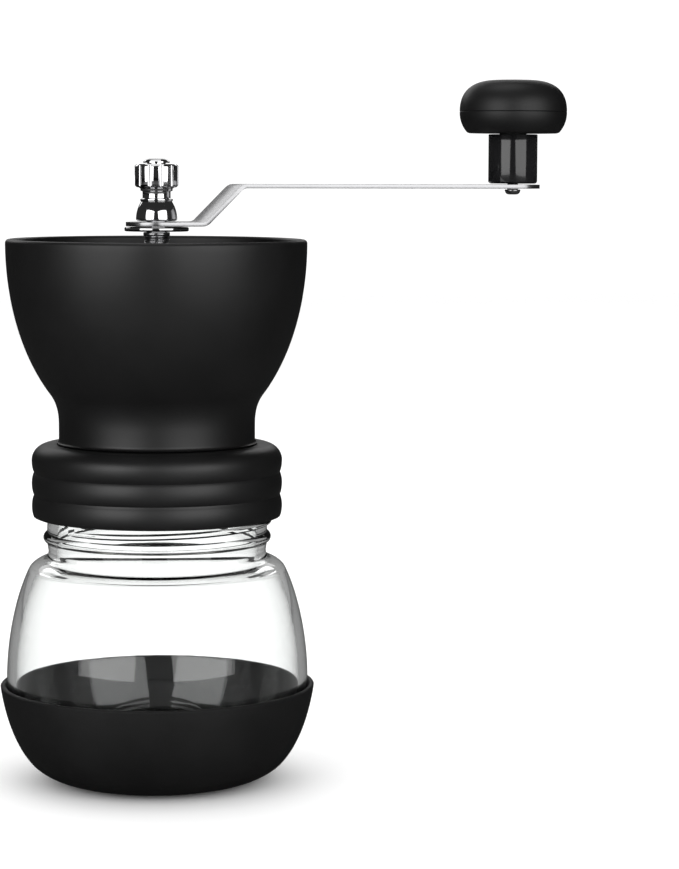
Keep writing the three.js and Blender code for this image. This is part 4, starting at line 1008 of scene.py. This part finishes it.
shaft = joined(shaft, thread(wide_ridge, WIDE_PITCH, wide_turns, 0, wide_thread[0] + 1, sink=-0.6))
end_ridge = [(2.3, -0.4), (2.85, -0.06), (2.85, 0.06), (2.3, 0.4)]
end_turns = shaft_high - shoulder_z - 5.4
shaft = joined(shaft, thread(end_ridge, END_PITCH, end_turns, 0, shoulder_z + 4.4, sink=-0.5))
carrier_flats = (6.0, shaft_low - 1, carrier_high + SEAT_GAP)
crank_flats = (4.4, shoulder_z, shoulder_z + 3.3)
for across, low, high in (carrier_flats, crank_flats):
    for side in (-1, 1):
        flat_cutter = block((10, 3, high - low), (0, side * (across / 2 + 1.5), (low + high) / 2))
        shaft = cut(shaft, flat_cutter)
placed(shaft, "shaft", shaft_steel)

clip = washer("split_clip", "burr_clip")
mouth = block((8, 4.6, 3), (7, 0, bottom("burr_clip") + 0.4))
placed(cut(clip, mouth), "burr_clip", shaft_steel)

# %% [markdown]
# ## Nuts
#
# Both nuts are gripped by the fingers, so both have flutes: round grooves set evenly round the
# rim. A groove is a thin rod, and one joined ring of rods cuts them all at once.

# %% Adjusting nut
def fluted(piece, count, groove, reach, low, high):
    """Cuts upright round grooves round a piece. The reach is the radius of the grooves' middles."""
    grooves = ring_of(rod(groove, low - 1, high + 1, x=reach, vertices=24), count)
    return cut(piece, grooves)


LEAD_IN = 0.5  # chamfer where a thread starts
nut_low, nut_high = span("adjust_nut")
nut_radius = radius("adjust_nut")
nut_outline = [(bush_bore, nut_low + LEAD_IN), (bush_bore + LEAD_IN, nut_low), (nut_radius, nut_low)]
nut_outline += [(nut_radius, nut_high), (bush_bore + LEAD_IN, nut_high), (bush_bore, nut_high - LEAD_IN)]
nut_outline += nut_outline[:1]
nut = rounded(turned("grind_nut", nut_outline), 0.45)
nut = fluted(nut, 12, 1.1, nut_radius + 0.4, nut_low, nut_high)
placed(rounded(nut, 0.08, segments=1, angle=35), "adjust_nut", shaft_steel)

# %% [markdown]
# The thumb nut is the bright tall piece in front of the rim. Its foot is a bell, it draws in to a
# waist, and its grip is a fluted drum with a button on top. Each step down its side has a rolled
# edge, so the reflections break at every one.

# %% Thumb nut
WAIST, GRIP, GRIP_EDGE = 4.1, 6.5, 0.7
thumb_low, thumb_high = span("thumb_nut")
bell_high = thumb_low + 5.9
grip_low = thumb_high - 6.8
nut_bore = end_radius + SEAT_GAP
bell = [(6.05, thumb_low + 0.4), (6.0, thumb_low + 3.4), (4.9, bell_high - 0.9), (4.5, bell_high - 0.2)]
thumb_outline = [(nut_bore, thumb_low), (5.65, thumb_low)] + bezier(bell, 12)
thumb_outline += [(4.75, bell_high), (4.75, bell_high + 0.5), (WAIST, bell_high + 0.7)]
thumb_outline += [(WAIST, grip_low - 1.2), (4.7, grip_low - 1.0), (4.7, grip_low - 0.4), (5.3, grip_low)]
thumb_outline += [(GRIP - GRIP_EDGE, grip_low), (GRIP, grip_low + GRIP_EDGE), (GRIP, thumb_high - GRIP_EDGE)]
thumb_outline += [(GRIP - GRIP_EDGE, thumb_high), (nut_bore, thumb_high), (nut_bore, thumb_low)]
thumb = rounded(turned("crank_nut", thumb_outline), 0.12)
grip_cutters = ring_of(rod(0.8, grip_low - 0.2, thumb_high + 1, x=GRIP + 0.4, vertices=24), 12)
placed(cut(thumb, grip_cutters), "thumb_nut", chrome)

# %% [markdown]
# The button on the nut hides the end of its bore, and its pin drops into it. The washer under the
# crank has a hole with two flats, so that it turns with the shaft and never rubs the crank.

# %% Cap and drive washer
plug_low, cap_high = span("nut_cap")
cap_low, cap_radius, plug = thumb_high + SEAT_GAP, radius("nut_cap"), end_radius - 0.2
button = [(0, plug_low), (plug, plug_low), (plug, cap_low)]
button += [(cap_radius, cap_low), (cap_radius, cap_low + 0.4)]
button += bezier([(cap_radius - 0.3, cap_low + 0.7), (3.1, cap_high), (1.4, cap_high)], 6) + [(0, cap_high)]
placed(turned("cap_button", button, steps=64), "nut_cap", chrome)

DRIVE_FLATS = 4.8  # across the flats of the holes on the shaft's end
washer_low, washer_high = span("drive_washer")
disc = tube(0, radius("drive_washer"), washer_low, washer_high)[:-1]
disc = rounded(turned("crank_washer", disc), 0.35, 3)
drive_hole = flatted(end_radius + RUN_GAP, DRIVE_FLATS, washer_low - 1, washer_high + 1)
placed(cut(disc, drive_hole), "drive_washer", chrome)

# %% [markdown]
# ## The crank arm
#
# The arm is a steel strip with two bends, rounded at both ends. Its side view is drawn as a ribbon
# of constant thickness, its plan as two circles and their tangents. Each is extruded far enough,
# and the arm is what the two have in common. A small bevel then breaks the sheared edges.

# %% Crank arm
ARM_THICKNESS = 1.2
HUB_RADIUS, END_RADIUS = 9.0, 8.2
BEND_START, BEND_RADIUS = 12.9, 3.0
hub_mid = bottom("crank_arm") + ARM_THICKNESS / 2
flat_mid = top("crank_arm") - ARM_THICKNESS / 2
rise = flat_mid - hub_mid
SLOPE = radians(45)
tangent = BEND_RADIUS * tan(SLOPE / 2)
slant = tangent * cos(SLOPE)
bend_end = BEND_START + rise
lower_bend = [(BEND_START - tangent, hub_mid), (BEND_START, hub_mid), (BEND_START + slant, hub_mid + slant)]
upper_bend = [(bend_end - slant, flat_mid - slant), (bend_end, flat_mid), (bend_end + tangent, flat_mid)]
ribbon = [(-HUB_RADIUS - 2, hub_mid)] + bezier(lower_bend, 8) + bezier(upper_bend, 8)
ribbon += [(arm_reach + END_RADIUS + 2, flat_mid)]
outer_face, inner_face = inset(ribbon, ARM_THICKNESS / 2), inset(ribbon, -ARM_THICKNESS / 2)
side_loop = [(x, -12, z) for x, z in outer_face + inner_face[::-1] + outer_face[:1]]
strip = prism("bent_arm", side_loop, (0, 24, 0))
lean = asin((HUB_RADIUS - END_RADIUS) / arm_reach) * 180 / pi
plan = arc((arm_reach, 0), END_RADIUS, lean - 90, 90 - lean, 32)
plan += arc((0, 0), HUB_RADIUS, 90 - lean, 270 + lean, 32)
plan_loop = [(x, y, hub_mid - 5) for x, y in [*plan, plan[0]]]
strip = combined(strip, [prism("plan", plan_loop, (0, 0, rise + 10))], "INTERSECT")
drive_hole = flatted(end_radius + RUN_GAP, DRIVE_FLATS, hub_mid - 3, hub_mid + 3)
pin_hole = rod(1.9, flat_mid - 3, flat_mid + 3, x=arm_reach)
placed(rounded(cut(strip, drive_hole, pin_hole), 0.22, 3, 40), "crank_arm", arm_steel, smooth=50)

# %% [markdown]
# ## The knob
#
# The knob is a squarish ball on a glossy sleeve, and both turn on a riveted pin. A thin parting
# line runs round the ball where the two halves of its mould met.

# %% Knob
def about(outline, name, steps=64):
    """A turned piece about the knob's axis."""
    return turned(name, outline, x=arm_reach, steps=steps)


pin_low, pin_high = span("knob_pin")
arm_under = top("crank_arm") - ARM_THICKNESS
stem_low, stem_high = span("knob_stem")
stem_radius = radius("knob_stem")
head_low = pin_high - 2
rivet = [(0, pin_low)] + bezier([(1.0, pin_low), (2.3, pin_low), (2.4, arm_under - SEAT_GAP)], 6)
rivet += [(1.6, arm_under - SEAT_GAP), (1.6, stem_low), (2.4, stem_low), (2.4, head_low)]
rivet += [(4.2, head_low), (4.2, pin_high), (0, pin_high)]
placed(rounded(about(rivet, "rivet_pin", 48), 0.12), "knob_pin", pin_steel)

sleeve_bore, counterbore = 2.6, 4.4
seat_z = head_low - SEAT_GAP
sleeve = [(sleeve_bore, stem_low), (stem_radius - 0.5, stem_low), (stem_radius, stem_low + 0.5)]
sleeve += [(stem_radius, stem_high), (counterbore, stem_high), (counterbore, seat_z), (sleeve_bore, seat_z)]
placed(rounded(about([*sleeve, sleeve[0]], "gloss_sleeve", 96), 0.2), "knob_stem", gloss_black)

knob_radius, knob_high = radius("knob_head"), top("knob_head")
knob_low = stem_high + SEAT_GAP
belly_z = knob_low + 6.5
ball = [(0, bottom("knob_head")), (4.1, bottom("knob_head")), (4.1, knob_low), (13.2, knob_low)]
ball += bezier([(13.9, knob_low + 0.25), (knob_radius, knob_low + 2.8), (knob_radius, belly_z - 0.15)], 12)
ball += [(knob_radius - 0.14, belly_z), (knob_radius, belly_z + 0.15)]
crown = [ball[-1], (knob_radius, knob_high - 3), (knob_radius - 4, knob_high), (5, knob_high)]
ball += bezier(crown, 22)[1:] + [(0, knob_high)]
placed(about(ball, "knob_ball", 96), "knob_head", soft_black)

# %% [markdown]
# ## Light and camera
#
# The room is white where the camera sees it and where it lights the floor, as in a catalogue
# picture, and almost dark where surfaces mirror it, so that black stays black and chrome keeps its
# contrast. Rays that bounce inside the glass wall find it lighter, so the jar keeps bright edges.
# Two wide soft boxes stand left and right of the camera, and smaller ones behind and overhead.

# %% Room
world = bpy.data.worlds.new("white_room")
bpy.context.scene.world = world
world.use_nodes = True
room = world.node_tree
ROOM_WHITE, ROOM_DIM, WALL_SHARE = 1.12, 0.025, 0.4


def mirrored(tree):
    """One for a ray that was mirrored by a surface, and a little less inside a glass wall."""
    travelled = added(tree, "LightPath").outputs
    bounced = maths(tree, "GREATER_THAN", travelled["Glossy Depth"], 0.5)
    in_wall = maths(tree, "COMPARE", travelled["Transmission Depth"], 2.0, 1.5)
    kept = maths(tree, "SUBTRACT", 1.0, maths(tree, "MULTIPLY", in_wall, WALL_SHARE))
    return maths(tree, "MULTIPLY", bounced, kept)


levels = {"Factor": mirrored(room), "A": ROOM_WHITE, "B": ROOM_DIM}
background = room.nodes["Background"].inputs
background["Color"].default_value = (1, 1, 1, 1)
room.links.new(added(room, "Mix", levels).outputs["Result"], background["Strength"])
print("room made of", len(room.nodes), "nodes")

# %% [markdown]
# The floor is pale and plain, and its far part melts into the room. Mirror rays find it dark, as
# if the grinder stood on a small white sheet in a dark studio. A light is aimed by turning it so
# that its own minus Z points at the grinder.

# %% Floor and soft boxes
bpy.ops.object.select_all(action="DESELECT")
bpy.ops.mesh.primitive_plane_add(size=6, location=ORIGIN)
floor = bpy.context.object
floor.name = "pale_floor"
pale = finish("pale_floor", Roughness=0.75, Specular_IOR_Level=0.2)
tinted(pale, mirrored(pale.node_tree), (0.97, 0.97, 0.97), (0.12, 0.12, 0.12))
floor.data.materials.append(pale)


def soft_box(name, place, size, power, aim=(0.02, 0, 0.1)):
    """An area light of a width and a height, turned towards a point."""
    bpy.ops.object.select_all(action="DESELECT")
    bpy.ops.object.light_add(type="AREA", location=place)
    lamp = bpy.context.object
    lamp.name = name
    lamp.data.shape = "RECTANGLE"
    lamp.data.size, lamp.data.size_y = size
    lamp.data.energy = power
    lamp.rotation_euler = (Vector(aim) - Vector(place)).to_track_quat("-Z", "Y").to_euler()
    print(name, "at", [round(v, 2) for v in place])


soft_box("box_right", (0.46, -1.05, 0.38), (1.1, 0.8), 5.5)
soft_box("box_left", (-0.90, -0.72, 0.38), (1.0, 0.8), 5.5)
soft_box("box_back", (0.1, 1.0, 0.62), (1.3, 0.35), 1.9)
soft_box("box_top", (0.0, 0.2, 1.25), (0.8, 0.8), 1.8)

# %% [markdown]
# The camera stands a little to the left of the front and just above the rim, so the rim is a thin
# ellipse and the inside of the bowl shows only as a sliver. The lens is long, as for a catalogue.

# %% Camera
AZIMUTH = radians(-12.18)
DISTANCE, HEIGHT = 0.82156, 0.18131
AIM_RIGHT, AIM_HEIGHT = 0.053795, 0.102475
ROLL = 0.0038
LENS, SENSOR = 115.9, 36
back = Vector((sin(AZIMUTH), -cos(AZIMUTH), 0))
right = Vector((cos(AZIMUTH), sin(AZIMUTH), 0))
bpy.ops.object.select_all(action="DESELECT")
bpy.ops.object.camera_add(location=back * DISTANCE + Vector((0, 0, HEIGHT)))
camera = bpy.context.object
camera.name = "catalogue_camera"
aim = right * AIM_RIGHT + Vector((0, 0, AIM_HEIGHT))
turn = (aim - camera.location).to_track_quat("-Z", "Y") @ Quaternion((0, 0, 1), ROLL)
camera.rotation_euler = turn.to_euler()
camera.data.lens = LENS
camera.data.sensor_width = SENSOR
bpy.context.scene.camera = camera
bpy.context.scene.view_settings.view_transform = "Standard"
print("camera looks from", [round(v, 3) for v in camera.location])
